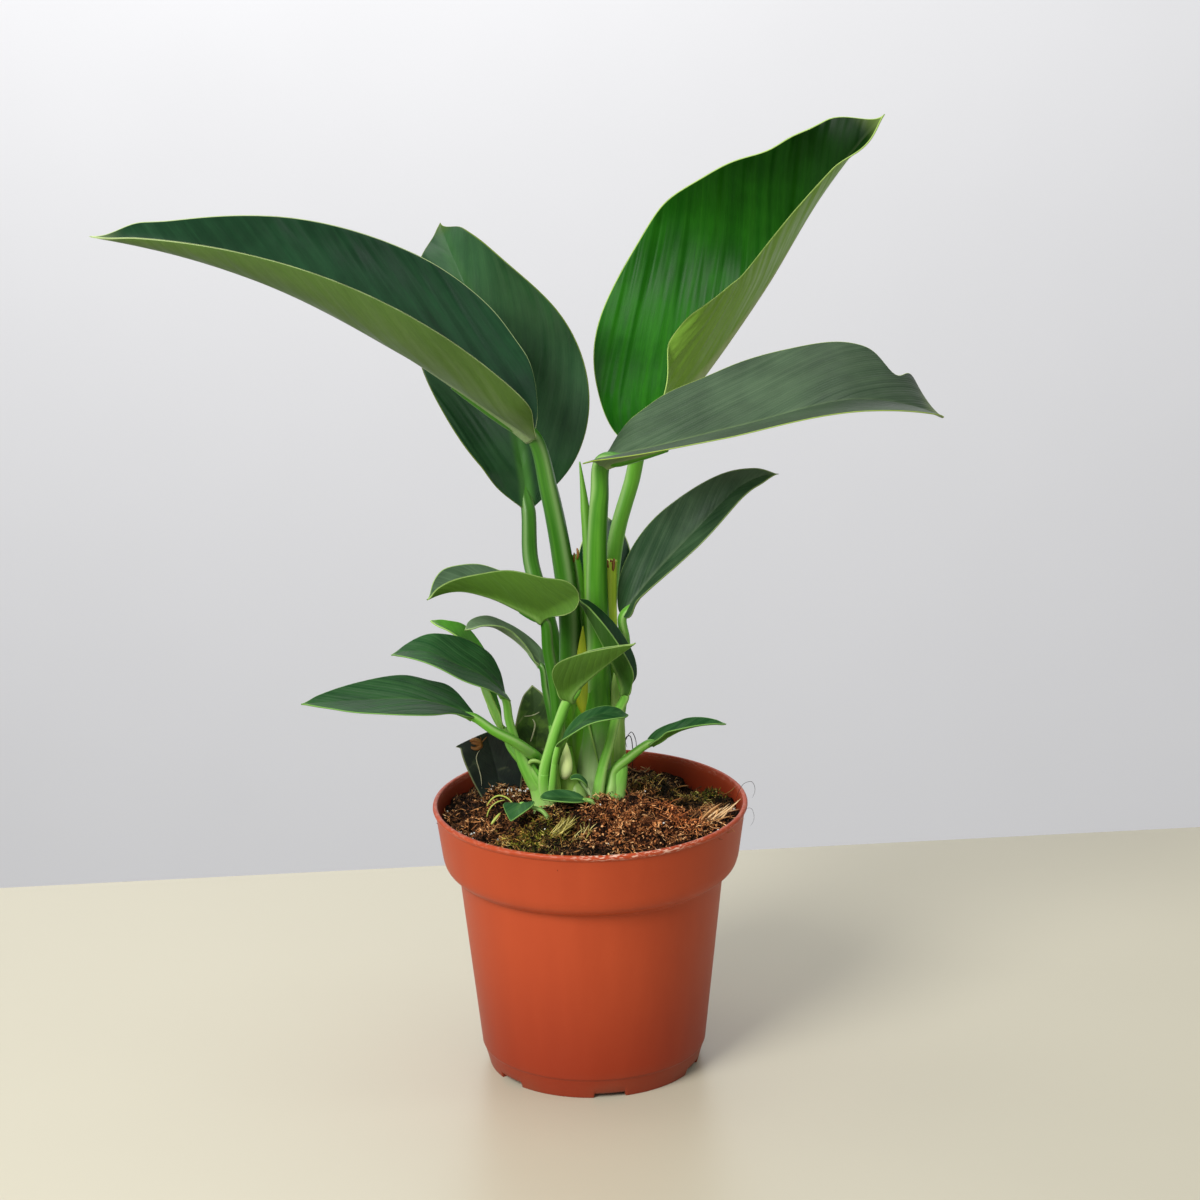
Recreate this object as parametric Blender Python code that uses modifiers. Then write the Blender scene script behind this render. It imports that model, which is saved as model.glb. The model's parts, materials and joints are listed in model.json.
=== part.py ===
"""Potted philodendron in a nursery pot with a 105 mm rim.

The lengths below are millimetres in the pot's own frame: the pot's axis is the Z axis, the pot stands on
z = 0 and -Y is the front. Objects are made at 1/1000 of these numbers, in Blender's metres, and hang from
one empty that moves the pot's axis so that the whole plant's box is centred over the origin.
"""

import math

import bmesh
import bpy
import numpy as np
from mathutils import Vector

MM = 0.001
POT_AXIS_AT = (19.6, -16.4)

# Pot
RIM_RADIUS = 52.5
POT_HEIGHT = 92.0
FOOT_RADIUS = 35.3
STEP_HEIGHT = 7.1
COLLAR_HEIGHT = 69.0
FLOOR_RADIUS = 35.1
FLOOR_TOP = 4.6
FLOOR_UNDERSIDE = 3.0
FOOT_RING = 2.0
POT_SIDES = 40
NOTCH_COUNT = 6
NOTCH_WIDTH = 10.5
NOTCH_HEIGHT = 1.6
NOTCH_DEPTH = 8.0
FIRST_NOTCH_DEG = 8.0
DRAIN_COUNT = 6
DRAIN_RADIUS = 3.5
DRAIN_CIRCLE = 21.0
# Inside and outside of the wall, from the foot up to the rim: radius, height
INNER_WALL = (
    (FOOT_RADIUS + 1.2, FLOOR_TOP + 4.0),
    (43.0, COLLAR_HEIGHT + 0.6),
    (46.6, COLLAR_HEIGHT + 1.9),
    (48.0, COLLAR_HEIGHT + 5.0),
    (50.4, POT_HEIGHT - 1.6),
)
OUTER_WALL = (
    (FOOT_RADIUS + 1.9, STEP_HEIGHT - 0.3),
    (FOOT_RADIUS + 2.4, STEP_HEIGHT + 0.4),
    (44.2, COLLAR_HEIGHT - 0.6),
    (46.5, COLLAR_HEIGHT + 0.3),
    (48.6, COLLAR_HEIGHT + 2.4),
    (49.4, COLLAR_HEIGHT + 5.0),
    (51.6, POT_HEIGHT - 2.0),
)

# Soil
CLEARANCE = 0.3
SOIL_EDGE = 86.5
SOIL_SIDES = 32
SOIL_RINGS = (8.0, 16.0, 24.0, 32.0, 40.0)
# Each mound or hollow: x, y, height, spread
SOIL_MOUNDS = (
    (-1.0, -4.0, 6.5, 17.0),
    (18.0, -12.0, 3.5, 13.0),
    (-3.0, -33.0, 3.2, 15.0),
    (28.0, -28.0, 3.0, 14.0),
    (33.0, 27.0, 3.5, 6.0),
    (20.0, 20.0, -2.5, 10.0),
    (-38.0, 4.0, -1.0, 10.0),
)
# Each ripple: height, wave numbers along x and y, phase
SOIL_RIPPLES = ((0.55, 0.36, 0.21, 0.4), (0.45, -0.27, 0.44, 1.9), (0.35, 0.58, -0.33, 3.1))
HOLE_SIDES = 16
HOLE_TOP = POT_HEIGHT + 20.0

# Leaves
BLADE_THICKNESS = 0.8
BLADE_END = 0.8
RIB_REACH = 0.2
EASE = 7.0
# How far below a stalk its sheath turns to meet it
SHEATH_BEND = 3.5

GREEN_MATURE = (0.022, 0.085, 0.030, 1.0)
GREEN_BRIGHT = (0.045, 0.190, 0.020, 1.0)
GREEN_STEM = (0.130, 0.390, 0.050, 1.0)
GREEN_OLD = (0.014, 0.030, 0.018, 1.0)
POT_COLOUR = (0.330, 0.068, 0.027, 1.0)
SOIL_COLOUR = (0.050, 0.025, 0.012, 1.0)

# Where each base stands in the soil: x, y, radius, foot of the base, top of the base
MAIN_BASE = (-0.5, 5.0, 9.3, 83.0, 97.0)
LEFT_BASE = (-13.5, -8.0, 4.3, 84.0, 96.5)
RIGHT_BASE = (7.5, -7.5, 3.6, 84.0, 97.0)


def smooth_path(points, count):
    """Points along a smooth curve through the given ones."""
    p = np.array(points, float)
    if len(p) == 2:
        t = np.linspace(0, 1, count)[:, None]
        return p[0] * (1 - t) + p[1] * t
    knots = np.concatenate([[0], np.cumsum(np.sqrt(np.linalg.norm(np.diff(p, axis=0), axis=1)))])
    slopes = np.gradient(p, knots, axis=0, edge_order=2)
    s = np.linspace(0, knots[-1], count)
    i = np.clip(np.searchsorted(knots, s, side="right") - 1, 0, len(p) - 2)
    step = (knots[i + 1] - knots[i])[:, None]
    x = (s - knots[i])[:, None] / step
    start = p[i] * (2 * x**3 - 3 * x**2 + 1) + slopes[i] * step * (x**3 - 2 * x**2 + x)
    return start + p[i + 1] * (3 * x**2 - 2 * x**3) + slopes[i + 1] * step * (x**3 - x**2)


def unit(vectors):
    return vectors / np.maximum(np.linalg.norm(vectors, axis=-1, keepdims=True), 1e-9)


def between(pair, u):
    """A value that runs from the base's to the tip's; a single number stays the same."""
    first, last = pair if isinstance(pair, tuple) else (pair, pair)
    return first * (1 - u) + last * u


def blade_frame(leaf, u):
    """Midrib points, tangents and upper-face normals at the shares u of the blade's length."""
    fine = smooth_path(leaf["midrib"], 161)
    arc = np.concatenate([[0], np.cumsum(np.linalg.norm(np.diff(fine, axis=0), axis=1))])
    slope = unit(np.gradient(fine, axis=0))
    at = np.stack([np.interp(u * arc[-1], arc, fine[:, k]) for k in range(3)], 1)
    along = unit(np.stack([np.interp(u * arc[-1], arc, slope[:, k]) for k in range(3)], 1))
    faces = np.array(leaf.get("faces", (0, 0, 1)), float)
    upper = unit(faces - (along @ faces)[:, None] * along)
    roll = np.radians(between(leaf.get("roll", 0), u))[:, None]
    normal = np.cos(roll) * upper + np.sin(roll) * np.cross(along, upper)
    return at, along, normal


def blade_points(leaf, u, v):
    """Middle surface of a blade: u runs from base to tip, v from the left margin, -1, to the right, 1."""
    at, along, normal = blade_frame(leaf, u)
    side = np.cross(along, normal)
    top = leaf.get("widest", 0.4)
    rise_power = leaf.get("round", 0.55)
    fall_power = rise_power * (1 - top) / top
    half = leaf["half_width"] * (u / top) ** rise_power * ((1 - u) / (1 - top)) ** fall_power + BLADE_END
    V, U = np.meshgrid(v, u)
    reach = np.abs(V)
    left = V < 0
    ease = np.clip(EASE * np.minimum(U, 1 - U), 0, 1)
    fold = np.radians(np.where(left, between(leaf["fold"][0], U), between(leaf["fold"][1], U))) * ease
    curl = np.radians(np.where(left, between(leaf["curl"][0], U), between(leaf["curl"][1], U))) * ease + 1e-3
    share = np.where(left, *leaf.get("shares", (1.0, 1.0)))
    radius = half[:, None] * share / curl
    out = radius * (np.sin(fold + curl * reach) - np.sin(fold))
    lift = radius * (np.cos(fold) - np.cos(fold + curl * reach))
    lobe = leaf.get("lobe", 0) * np.exp(-U / leaf.get("lobe_reach", 0.1)) * (1 - np.exp(-U / 0.02)) * reach**1.2
    sideways = (np.sign(V) * out)[..., None] * side[:, None, :]
    return at[:, None, :] + sideways + lift[..., None] * normal[:, None, :] - lobe[..., None] * along[:, None, :]


def material(name, colour, roughness):
    made = bpy.data.materials.new(name)
    made.use_nodes = True
    shader = made.node_tree.nodes["Principled BSDF"]
    shader.inputs["Base Color"].default_value = colour
    shader.inputs["Roughness"].default_value = roughness
    shader.inputs["Metallic"].default_value = 0.0
    return made


def linked(obj):
    WORKSHOP.objects.link(obj)
    return obj


def baked(obj, name):
    """The object's evaluated shape as a plain closed mesh object, in place of the object."""
    bpy.context.view_layer.update()
    evaluated = obj.evaluated_get(bpy.context.evaluated_depsgraph_get())
    mesh = bpy.data.meshes.new_from_object(evaluated)
    work = bmesh.new()
    work.from_mesh(mesh)
    bmesh.ops.remove_doubles(work, verts=work.verts, dist=1e-6)
    bmesh.ops.recalc_face_normals(work, faces=work.faces)
    work.to_mesh(mesh)
    work.free()
    made = bpy.data.objects.new(name, mesh)
    made.matrix_world = obj.matrix_world
    bpy.data.objects.remove(obj)
    return linked(made)


def tube(name, path, radii, sides=8):
    """A round stem along the path, with its radius running through the given ones, as a closed mesh."""
    curve = bpy.data.curves.new(name, "CURVE")
    curve.dimensions = "3D"
    curve.bevel_depth = MM
    curve.bevel_resolution = (sides - 4) // 2
    curve.use_fill_caps = True
    spline = curve.splines.new("POLY")
    spline.points.add(len(path) - 1)
    shares = np.linspace(0, 1, len(path))
    widths = np.interp(shares, np.linspace(0, 1, len(radii)), radii)
    for point, position, width in zip(spline.points, path, widths):
        point.co = (*(position * MM), 1)
        point.radius = width
    return baked(linked(bpy.data.objects.new(name, curve)), name)


def turned(name, profile, sides):
    """A Screw of the profile, whose points are (radius, height) in order down the outer side."""
    mesh = bpy.data.meshes.new(name)
    points = [(r * MM, 0, z * MM) for r, z in profile]
    mesh.from_pydata(points, [(i, i + 1) for i in range(len(points) - 1)], [])
    obj = linked(bpy.data.objects.new(name, mesh))
    screw = obj.modifiers.new("Turn", "SCREW")
    screw.steps = screw.render_steps = sides
    screw.use_merge_vertices = True
    screw.merge_threshold = 0.00005
    return obj


def cylinder(name, x, y, radius, low, high, sides):
    """An upright cylinder, as a closed mesh."""
    work = bmesh.new()
    bmesh.ops.create_cone(
        work, cap_ends=True, segments=sides, radius1=radius * MM, radius2=radius * MM, depth=(high - low) * MM
    )
    bmesh.ops.translate(work, verts=work.verts, vec=Vector((x, y, (low + high) / 2)) * MM)
    mesh = bpy.data.meshes.new(name)
    work.to_mesh(mesh)
    work.free()
    return linked(bpy.data.objects.new(name, mesh))


def whole(obj):
    """Whether the object's modifiers leave a closed mesh, which the EXACT solver now and then doesn't."""
    bpy.context.view_layer.update()
    evaluated = obj.evaluated_get(bpy.context.evaluated_depsgraph_get())
    work = bmesh.new()
    work.from_mesh(evaluated.to_mesh())
    closed = len(work.faces) > 0 and all(edge.is_manifold for edge in work.edges)
    work.free()
    evaluated.to_mesh_clear()
    return closed


def largest_body(obj):
    """Drops the scraps and small pockets that a union can leave beside a piece or seal inside it."""
    work = bmesh.new()
    work.from_mesh(obj.data)
    left, bodies = set(work.faces), []
    while left:
        body, front = set(), [left.pop()]
        while front:
            face = front.pop()
            body.add(face)
            joined = {other for edge in face.edges if edge.is_manifold for other in edge.link_faces}
            front += joined & left
            left -= joined
        bodies.append(body)
    bodies.sort(key=len)
    bmesh.ops.delete(work, geom=[face for body in bodies[:-1] for face in body], context="FACES")
    work.to_mesh(obj.data)
    work.free()
    return obj


def boolean(obj, others, operation, name):
    """Applies one Boolean of the object with all the others together, and removes them."""
    tools = bpy.data.collections.new(name + " tools")
    bpy.context.scene.collection.children.link(tools)
    for other in others:
        tools.objects.link(other)
    cut = obj.modifiers.new("Boolean", "BOOLEAN")
    cut.operation = operation
    cut.operand_type = "COLLECTION"
    cut.collection = tools
    cut.solver = "EXACT" if whole(obj) else "MANIFOLD"
    made = baked(obj, name)
    for other in others:
        bpy.data.objects.remove(other)
    bpy.data.collections.remove(tools)
    return largest_body(made)


def finished(obj, name, looks):
    """Names the piece, gives it its material and soft shading, and hangs it from the plant's frame."""
    obj.name = name
    obj.data.name = name
    obj.data.materials.clear()
    obj.data.materials.append(looks)
    obj.data.shade_smooth()
    obj.data.set_sharp_from_angle(angle=math.radians(40))
    WORKSHOP.objects.unlink(obj)
    PLANT.objects.link(obj)
    obj.parent = FRAME
    return obj


def front_polar(degrees, radius):
    """Point on a circle round the pot's axis, measured from the front toward the right."""
    angle = math.radians(degrees)
    return radius * math.sin(angle), -radius * math.cos(angle)


def make_pot():
    inner_foot = FOOT_RADIUS - FOOT_RING
    floor = [(0, FLOOR_TOP), (FLOOR_RADIUS, FLOOR_TOP)]
    bead = [(RIM_RADIUS - 1.2, POT_HEIGHT), (RIM_RADIUS - 0.4, POT_HEIGHT)]
    bead += [(RIM_RADIUS, POT_HEIGHT - 0.4), (RIM_RADIUS, POT_HEIGHT - 1.4)]
    foot = [(FOOT_RADIUS, 0), (inner_foot, 0), (inner_foot, FLOOR_UNDERSIDE), (0, FLOOR_UNDERSIDE)]
    profile = floor + list(INNER_WALL) + bead + list(OUTER_WALL[::-1]) + foot
    pot = turned("pot", profile, POT_SIDES)
    cutters = []
    for number in range(NOTCH_COUNT):
        x, y = front_polar(FIRST_NOTCH_DEG + number * 360 / NOTCH_COUNT, FOOT_RADIUS)
        work = bmesh.new()
        bmesh.ops.create_cube(work, size=MM)
        bmesh.ops.scale(work, verts=work.verts, vec=(NOTCH_WIDTH, NOTCH_DEPTH, 2 * NOTCH_HEIGHT))
        mesh = bpy.data.meshes.new("notch")
        work.to_mesh(mesh)
        work.free()
        notch = linked(bpy.data.objects.new("notch", mesh))
        notch.location = (x * MM, y * MM, 0)
        notch.rotation_euler.z = math.atan2(x, -y)
        cutters.append(notch)
    for number in range(DRAIN_COUNT):
        x, y = front_polar(number * 360 / DRAIN_COUNT, DRAIN_CIRCLE)
        cutters.append(cylinder("drain", x, y, DRAIN_RADIUS, 0, 2 * FLOOR_TOP, 12))
    pot = boolean(baked(pot, "pot"), cutters, "DIFFERENCE", "pot")
    return finished(pot, "pot", material("pot plastic", POT_COLOUR, 0.45))


def soil_height(x, y):
    height = SOIL_EDGE
    for at_x, at_y, rise, spread in SOIL_MOUNDS:
        height += rise * math.exp(-((x - at_x) ** 2 + (y - at_y) ** 2) / (2 * spread**2))
    for rise, wave_x, wave_y, phase in SOIL_RIPPLES:
        height += rise * math.sin(wave_x * x + wave_y * y + phase)
    return height


def make_soil(holes):
    """The root ball: turned to the pot's inside, its top moved to the mounds, with a hole for each stem."""
    wall_radii, wall_heights = zip(*INNER_WALL)
    edge = float(np.interp(SOIL_EDGE, wall_heights, wall_radii)) - 2 * CLEARANCE
    profile = [(0, SOIL_EDGE)] + [(r, SOIL_EDGE) for r in SOIL_RINGS] + [(edge, SOIL_EDGE)]
    profile += [(r - 2 * CLEARANCE, z + CLEARANCE) for r, z in INNER_WALL[-2::-1]]
    profile += [(FLOOR_RADIUS - 2 * CLEARANCE, FLOOR_TOP + CLEARANCE), (0, FLOOR_TOP + CLEARANCE)]
    soil = baked(turned("soil", profile, SOIL_SIDES), "soil")
    for vertex in soil.data.vertices:
        if vertex.co.z > (SOIL_EDGE - 0.1) * MM:
            vertex.co.z = soil_height(vertex.co.x / MM, vertex.co.y / MM) * MM
    cutters = []
    for x, y, radius, foot in holes:
        wide = (radius + CLEARANCE) / math.cos(math.pi / HOLE_SIDES)
        cutters.append(cylinder("hole", x, y, wide, foot - CLEARANCE, HOLE_TOP, HOLE_SIDES))
    soil = boolean(soil, cutters, "DIFFERENCE", "soil")
    return finished(soil, "soil", material("peat", SOIL_COLOUR, 0.95))


def blade(leaf, name):
    """A grid bent to the blade's form and thickened."""
    rows, columns = leaf.get("grid", (9, 4))
    work = bmesh.new()
    bmesh.ops.create_grid(work, x_segments=rows, y_segments=columns, size=1)
    steps = sorted({round(vert.co.x, 5) for vert in work.verts})
    places = {step: number for number, step in enumerate(steps)}
    share = np.linspace(0, 1, rows + 1)
    u = 0.5 * share + 0.25 * (1 - np.cos(math.pi * share))
    v = np.linspace(-1, 1, columns + 1)
    points = blade_points(leaf, u, v) * MM
    for vert in work.verts:
        column = round((vert.co.y + 1) / 2 * columns)
        vert.co = points[places[round(vert.co.x, 5)], column]
    bmesh.ops.triangulate(work, faces=work.faces)
    mesh = bpy.data.meshes.new(name)
    work.to_mesh(mesh)
    work.free()
    obj = linked(bpy.data.objects.new(name, mesh))
    solid = obj.modifiers.new("Thickness", "SOLIDIFY")
    solid.thickness = leaf.get("thickness", BLADE_THICKNESS) * MM
    solid.offset = 0
    return baked(obj, name)


def petiole_path(leaf):
    """The leaf's stalk, then the start of the rib under its blade."""
    rib_at = np.array([0.3, 1.0]) * RIB_REACH
    at, _, normal = blade_frame(leaf, rib_at)
    ends = at - normal * leaf["radii"][-1] * np.array([[0.6], [0.5]])
    stalk = smooth_path(leaf["petiole"] + [tuple(point) for point in ends], leaf.get("rings", 7))
    return stalk


def make_leaf(name, leaf):
    path = petiole_path(leaf)
    stalk = tube(name, path, leaf["radii"] + (leaf["radii"][-1] * 0.75, 0.45), leaf.get("sides", 6))
    made = boolean(stalk, [blade(leaf, name + " blade")], "UNION", name)
    return finished(made, name, LOOKS[leaf.get("looks", "mature")])


def arm(name, roots, radii, start, first_step):
    """A sheathing stem that ends flat, just below where a stalk starts."""
    heading = unit(first_step)
    path = smooth_path(list(roots) + [tuple(start - SHEATH_BEND * heading)], 1 + 2 * len(roots))
    path = np.concatenate([path, [start - CLEARANCE * heading]])
    return tube(name, path, radii, 8 if radii[0] > 3 else 6)


def make_base(name, base, arms, looks):
    """The stem's foot in the soil with every sheath that rises from it, as one body."""
    x, y, radius, foot, top = base
    body = cylinder(name, x, y, radius, foot, top, 16)
    return finished(boolean(body, arms, "UNION", name), name, looks)


# Each leaf: where its blade's midrib runs from base to tip, which way its upper face looks, its roll about the
# midrib, its half width, where it is widest and how round its base is, how steeply each half leaves the midrib
# (fold) and how much more it turns up by the margin (curl), left half then right half; its stalk from where
# it leaves its sheath to its blade, and the stalk's radii; the sheath's own points below that and its radii.
LEAVES = {
    "leaf_long_left": dict(
        midrib=[(-16, 1, 217.5), (-29, -1, 227.5), (-60, -7, 250), (-102.5, -13, 274), (-154.5, -15, 289)],
        roll=(-14, -4), half_width=40, widest=0.30, round=0.47,
        fold=((0, 12), (8, 14)), curl=((70, 45), (38, 48)), grid=(15, 6),
        petiole=[(-5.5, 5, 129), (-5.5, 5, 153.5), (-7.5, 4, 174.5), (-11.5, 3, 198.5), (-16.5, 1, 217.5)],
        radii=(4.2, 3.8, 3.6, 3.2, 2.6), sides=8, rings=10,
        root=("main", [(-2, 3, 91), (-3.5, 4, 105), (-5, 5, 118.5)], (5.5, 5.2, 4.6, 4.2)),
    ),
    "leaf_back": dict(
        midrib=[(-19, 33, 183.5), (-23, 41, 204.5), (-30, 56, 233), (-41, 68, 257), (-47, 85, 271)],
        faces=(0.3, -1, 0), roll=(12, -27), half_width=28, widest=0.42, round=0.72,
        fold=((10, 8), (6, 20)), curl=((25, 20), (15, 40)), lobe=-3, grid=(13, 6),
        petiole=[(-5.5, 15, 122.5), (-10, 18, 135.5), (-14, 23, 151.5), (-18.5, 29, 167), (-19, 33, 183)],
        radii=(2.6, 2.4, 2.4, 2.3, 2.2), sides=8, rings=10,
        root=("main", [(-2, 9, 89), (-4, 11, 102.5), (-5, 13, 114)], (4.2, 3.6, 3.0, 2.6)),
    ),
    "leaf_tall_right": dict(
        midrib=[(20, 22, 213), (38, 52, 222), (61, 66, 249.5), (81, 60, 284), (101, 54, 311)],
        faces=(-0.5, -0.8, 0.4), roll=(-41, -12), half_width=45, widest=0.42, round=0.8, shares=(1.0, 0.9),
        fold=(35, 42), curl=((20, 18), (5, 22)), lobe=-4, lobe_reach=0.15, grid=(15, 8),
        petiole=[(6, 11, 144.5), (7.5, 13, 161), (10.5, 17, 180.5), (15.5, 21, 196.5), (19.5, 22, 211.5)],
        radii=(3.5, 3.3, 3.2, 3.0, 2.7), sides=8, rings=10, looks="bright",
        root=("main", [(1.5, 8, 89), (3.5, 9, 110), (5, 10, 127.5)], (5.2, 4.6, 4.0, 3.5)),
    ),
    "leaf_low_right": dict(
        midrib=[(6, -1, 210.5), (21, -9, 215.5), (50, -17, 224.5), (87.5, -21, 233.5), (114.5, -15, 225.5)],
        roll=(3, 2), half_width=30, widest=0.50, round=0.43,
        fold=((26, 23), (5, 3)), curl=((10, 4), (3, 0)), lobe=7, grid=(14, 6),
        petiole=[(3, 1, 130.5), (3.5, 1, 144.5), (3.5, 1, 154.5), (3.5, 0, 175.5), (4.5, -1, 196), (6, -1, 209)],
        radii=(4.2, 4.1, 3.8, 3.4, 3.2, 3.0), sides=8, rings=10,
        root=("main", [(0.3, 1.6, 91.5), (1.5, 1, 106), (2.5, 1, 120)], (5.5, 5.2, 4.8, 4.2)),
    ),
    "leaf_narrow_right": dict(
        midrib=[(11.5, 1, 156), (21, 1, 168.5), (35, -1, 184.5), (51, -2, 200.5), (62.5, -7, 205.5)],
        faces=(-0.5, -0.8, 0.5), roll=(-20, 9), half_width=12.5, widest=0.37, round=0.63,
        fold=((13, 22), (22, 18)), curl=((8, 23), (33, 27)), lobe=1.5, grid=(12, 4),
        petiole=[(10.5, 4, 121.5), (12, 3, 136.5), (12.5, 2, 147), (11.7, 1, 155.5)],
        radii=(1.8, 1.7, 1.6, 1.5),
        root=("main", [(2.5, 5, 90), (6, 5, 104.5), (9, 5, 115)], (4.6, 3.6, 2.6, 1.8)),
    ),
    "leaf_small_behind": dict(
        midrib=[(5.5, 24, 153.5), (6, 25, 162.5), (6.5, 28, 172.5), (7.5, 32, 181)],
        faces=(0, -1, 0.3), half_width=9, widest=0.45, round=0.6,
        fold=(10, 10), curl=(10, 10),
        petiole=[(4, 19, 121), (5, 22, 137.5), (5.5, 24, 153)], radii=(1.8, 1.6, 1.4),
        root=("main", [(0, 9, 89), (2.5, 15, 106)], (4.0, 2.8, 1.8)),
    ),
    "leaf_arched_front": dict(
        midrib=[(-14, -13, 160), (-22, -14, 164), (-32, -15, 168.5), (-42, -17, 171), (-51.5, -20, 169)],
        half_width=16, widest=0.25, round=0.34,
        fold=(50, (30, 45)), curl=(20, 25), lobe=13, lobe_reach=0.2, grid=(12, 6), looks="bright",
        petiole=[(-10.5, -6.5, 121), (-12, -9, 135.5), (-14, -11, 148.5), (-14, -13, 159.5)],
        radii=(2.2, 2.1, 2.0, 1.8),
        root=("left", [(-13.5, -6.5, 96), (-13.5, -5.5, 107)], (2.6, 2.4, 2.2)),
    ),
    "leaf_left_upper": dict(
        midrib=[(-27, -15, 134.5), (-34, -19, 142.5), (-42, -22, 147.5), (-52, -23, 152.5), (-63.5, -20, 150.5)],
        roll=(-19, -5), half_width=13.5, widest=0.38, round=0.57,
        fold=((2, 3), (11, 5)), curl=((6, 8), (21, 12)), lobe=2.5, grid=(11, 4),
        petiole=[(-23.8, -10.3, 116), (-26, -12.3, 125), (-27, -14.5, 133)], radii=(1.6, 1.5, 1.4),
        root=("left", [(-14.5, -8.5, 95.5), (-18.3, -9.3, 102), (-21.5, -10, 109)], (2.8, 2.6, 2.2, 1.6)),
    ),
    "leaf_left_lower": dict(
        midrib=[(-37, -21, 129.5), (-46, -23, 134), (-57, -26, 137.5), (-74, -28, 138), (-92.5, -31, 138)],
        roll=(-9, -4), half_width=15.5, widest=0.38, round=0.58, shares=(1.0, 0.85),
        fold=((3, 4), (3, 3)), curl=((3, 3), (13, 14)), lobe=-3, grid=(12, 4),
        petiole=[(-20, -12.6, 114.3), (-24.3, -16.5, 119), (-31, -19.5, 124), (-37, -21, 129)],
        radii=(2.1, 1.9, 1.8, 1.7),
        root=("left", [(-13.5, -7, 96), (-14.5, -4.5, 104.5), (-17.8, -7.5, 110.5)], (2.4, 2.3, 2.2, 2.1)),
    ),
    "leaf_curled": dict(
        midrib=[(-15, -3, 140.5), (-20, 0, 145.5), (-26, 0, 150.5), (-32, -3, 154.5), (-40, -7, 154.5)],
        faces=(0.4, 0.2, 1), roll=(-10, 0), half_width=6, widest=0.45, round=0.48,
        fold=((13, 14), (17, 14)), curl=((7, 10), (15, 10)), lobe=-1,
        petiole=[(-12, -3, 120), (-14, -3, 132.5), (-15, -3, 140)], radii=(1.4, 1.3, 1.2),
        root=("left", [(-12.5, -6.5, 96), (-11.5, -4.5, 109)], (2.0, 1.7, 1.4)),
    ),
    "leaf_young_twisted": dict(
        midrib=[(-28, -6, 120), (-34, -4, 131.5), (-38, 0.5, 144), (-43, -1, 151), (-51.5, -1, 156)],
        faces=(0.6, 0.2, 0.6), roll=(-4, -19), half_width=6.5, widest=0.51, round=0.50,
        fold=((17, 11), (19, 19)), curl=((16, 4), (18, 18)), looks="bright",
        petiole=[(-26, -7, 114), (-27, -6.5, 117), (-28, -6, 119.5)], radii=(1.4, 1.3, 1.2),
        root=("left", [(-20, -10.5, 107), (-24, -8, 111.5)], (1.8, 1.6, 1.4)),
    ),
    "leaf_crossing": dict(
        midrib=[(12.5, -9, 132), (11, -10, 137.5), (7.5, -10.5, 145), (3, -11, 154.5), (-3, -12, 166.5)],
        faces=(0.8, 0, 0.6), roll=(-8, -4), half_width=9, widest=0.4, round=0.5,
        fold=((45, 36), (38, 30)), curl=((8, 0), (13, 0)), grid=(11, 4),
        petiole=[(6, -8, 107), (8, -8, 114), (10.5, -8, 125.5), (12.3, -9, 131.5)], radii=(1.8, 1.7, 1.6, 1.5),
        root=("right", [(6.6, -7.9, 95), (5, -8.5, 100.5)], (2.2, 2.0, 1.8)),
    ),
    "leaf_facing_front": dict(
        midrib=[(-6.5, -15, 133), (-3.5, -18, 138), (1.5, -21, 143), (8, -24, 149), (15.5, -27, 155.5)],
        faces=(-0.6, 0, 0.8), roll=(-3, -4), half_width=13, widest=0.27, round=0.46, shares=(0.7, 1.0),
        fold=(40, 50), curl=(20, 22), lobe=1, grid=(11, 6), looks="bright",
        petiole=[(-15.5, -11.5, 106), (-13.5, -12.3, 115.5), (-10.5, -13, 125), (-6.7, -15, 132.7)],
        radii=(1.9, 1.9, 1.9, 1.8),
        root=("left", [(-14, -10, 95)], (2.2, 2.0)),
    ),
    "leaf_tiny_front": dict(
        midrib=[(-10, -15, 117), (-6, -18, 122.5), (-1, -20, 127), (6, -22, 130), (13, -20, 128.5)],
        roll=(14, 9), half_width=4.5, widest=0.45, round=0.51,
        fold=(15, 10), curl=(20, 10),
        petiole=[(-11.5, -13.5, 110), (-11, -14.2, 113), (-10, -15, 116.7)], radii=(1.1, 1.1, 1.0), rings=6,
        root=("left", [(-12.5, -10.5, 95), (-12.3, -12.3, 102)], (1.5, 1.3, 1.1)),
    ),
    "leaf_sprig_right": dict(
        midrib=[(20, -7, 114.5), (26, -8, 117.5), (31, -11, 120.5), (38, -13, 122.5), (45, -13, 122.5)],
        roll=(10, 1), half_width=4.5, widest=0.36, round=0.51,
        fold=((16, 14), (11, 13)), curl=(20, (13, 17)), lobe=3,
        petiole=[(8, -5.5, 104), (13, -6, 109), (19.7, -7, 114.2)], radii=(1.8, 1.6, 1.4),
        root=("right", [(8, -7, 95)], (2.2, 1.9)),
    ),
    "old_leaf_upright": dict(
        midrib=[(-17, 8, 92.5), (-17.5, 8, 102), (-18, 7, 116.5), (-18.5, 7, 130.5)],
        faces=(0.15, -1, 0), half_width=8, widest=0.35, round=0.35,
        fold=(6, 6), curl=(8, 8), looks="old",
        petiole=[(-17, 8, 86), (-17, 8, 92)], radii=(1.2, 1.2), rings=5,
    ),
    "old_leaf_torn": dict(
        midrib=[(-28.5, 13, 92), (-31, 12.5, 97), (-35, 12, 103), (-39, 11, 109)],
        faces=(0.2, -1, 0.2), half_width=9.5, widest=0.5, round=0.3,
        fold=(6, 8), curl=(6, 10), looks="old",
        petiole=[(-28.2, 13.3, 84), (-28.5, 13, 91.5)], radii=(1.2, 1.2), rings=5,
    ),
    "leaf_baby_oval": dict(
        midrib=[(0, -16.5, 97.3), (-5, -18, 99), (-10, -19, 99.5), (-15.5, -19.5, 99)],
        roll=(-20, -10), half_width=3.2, widest=0.55, round=0.5,
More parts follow.
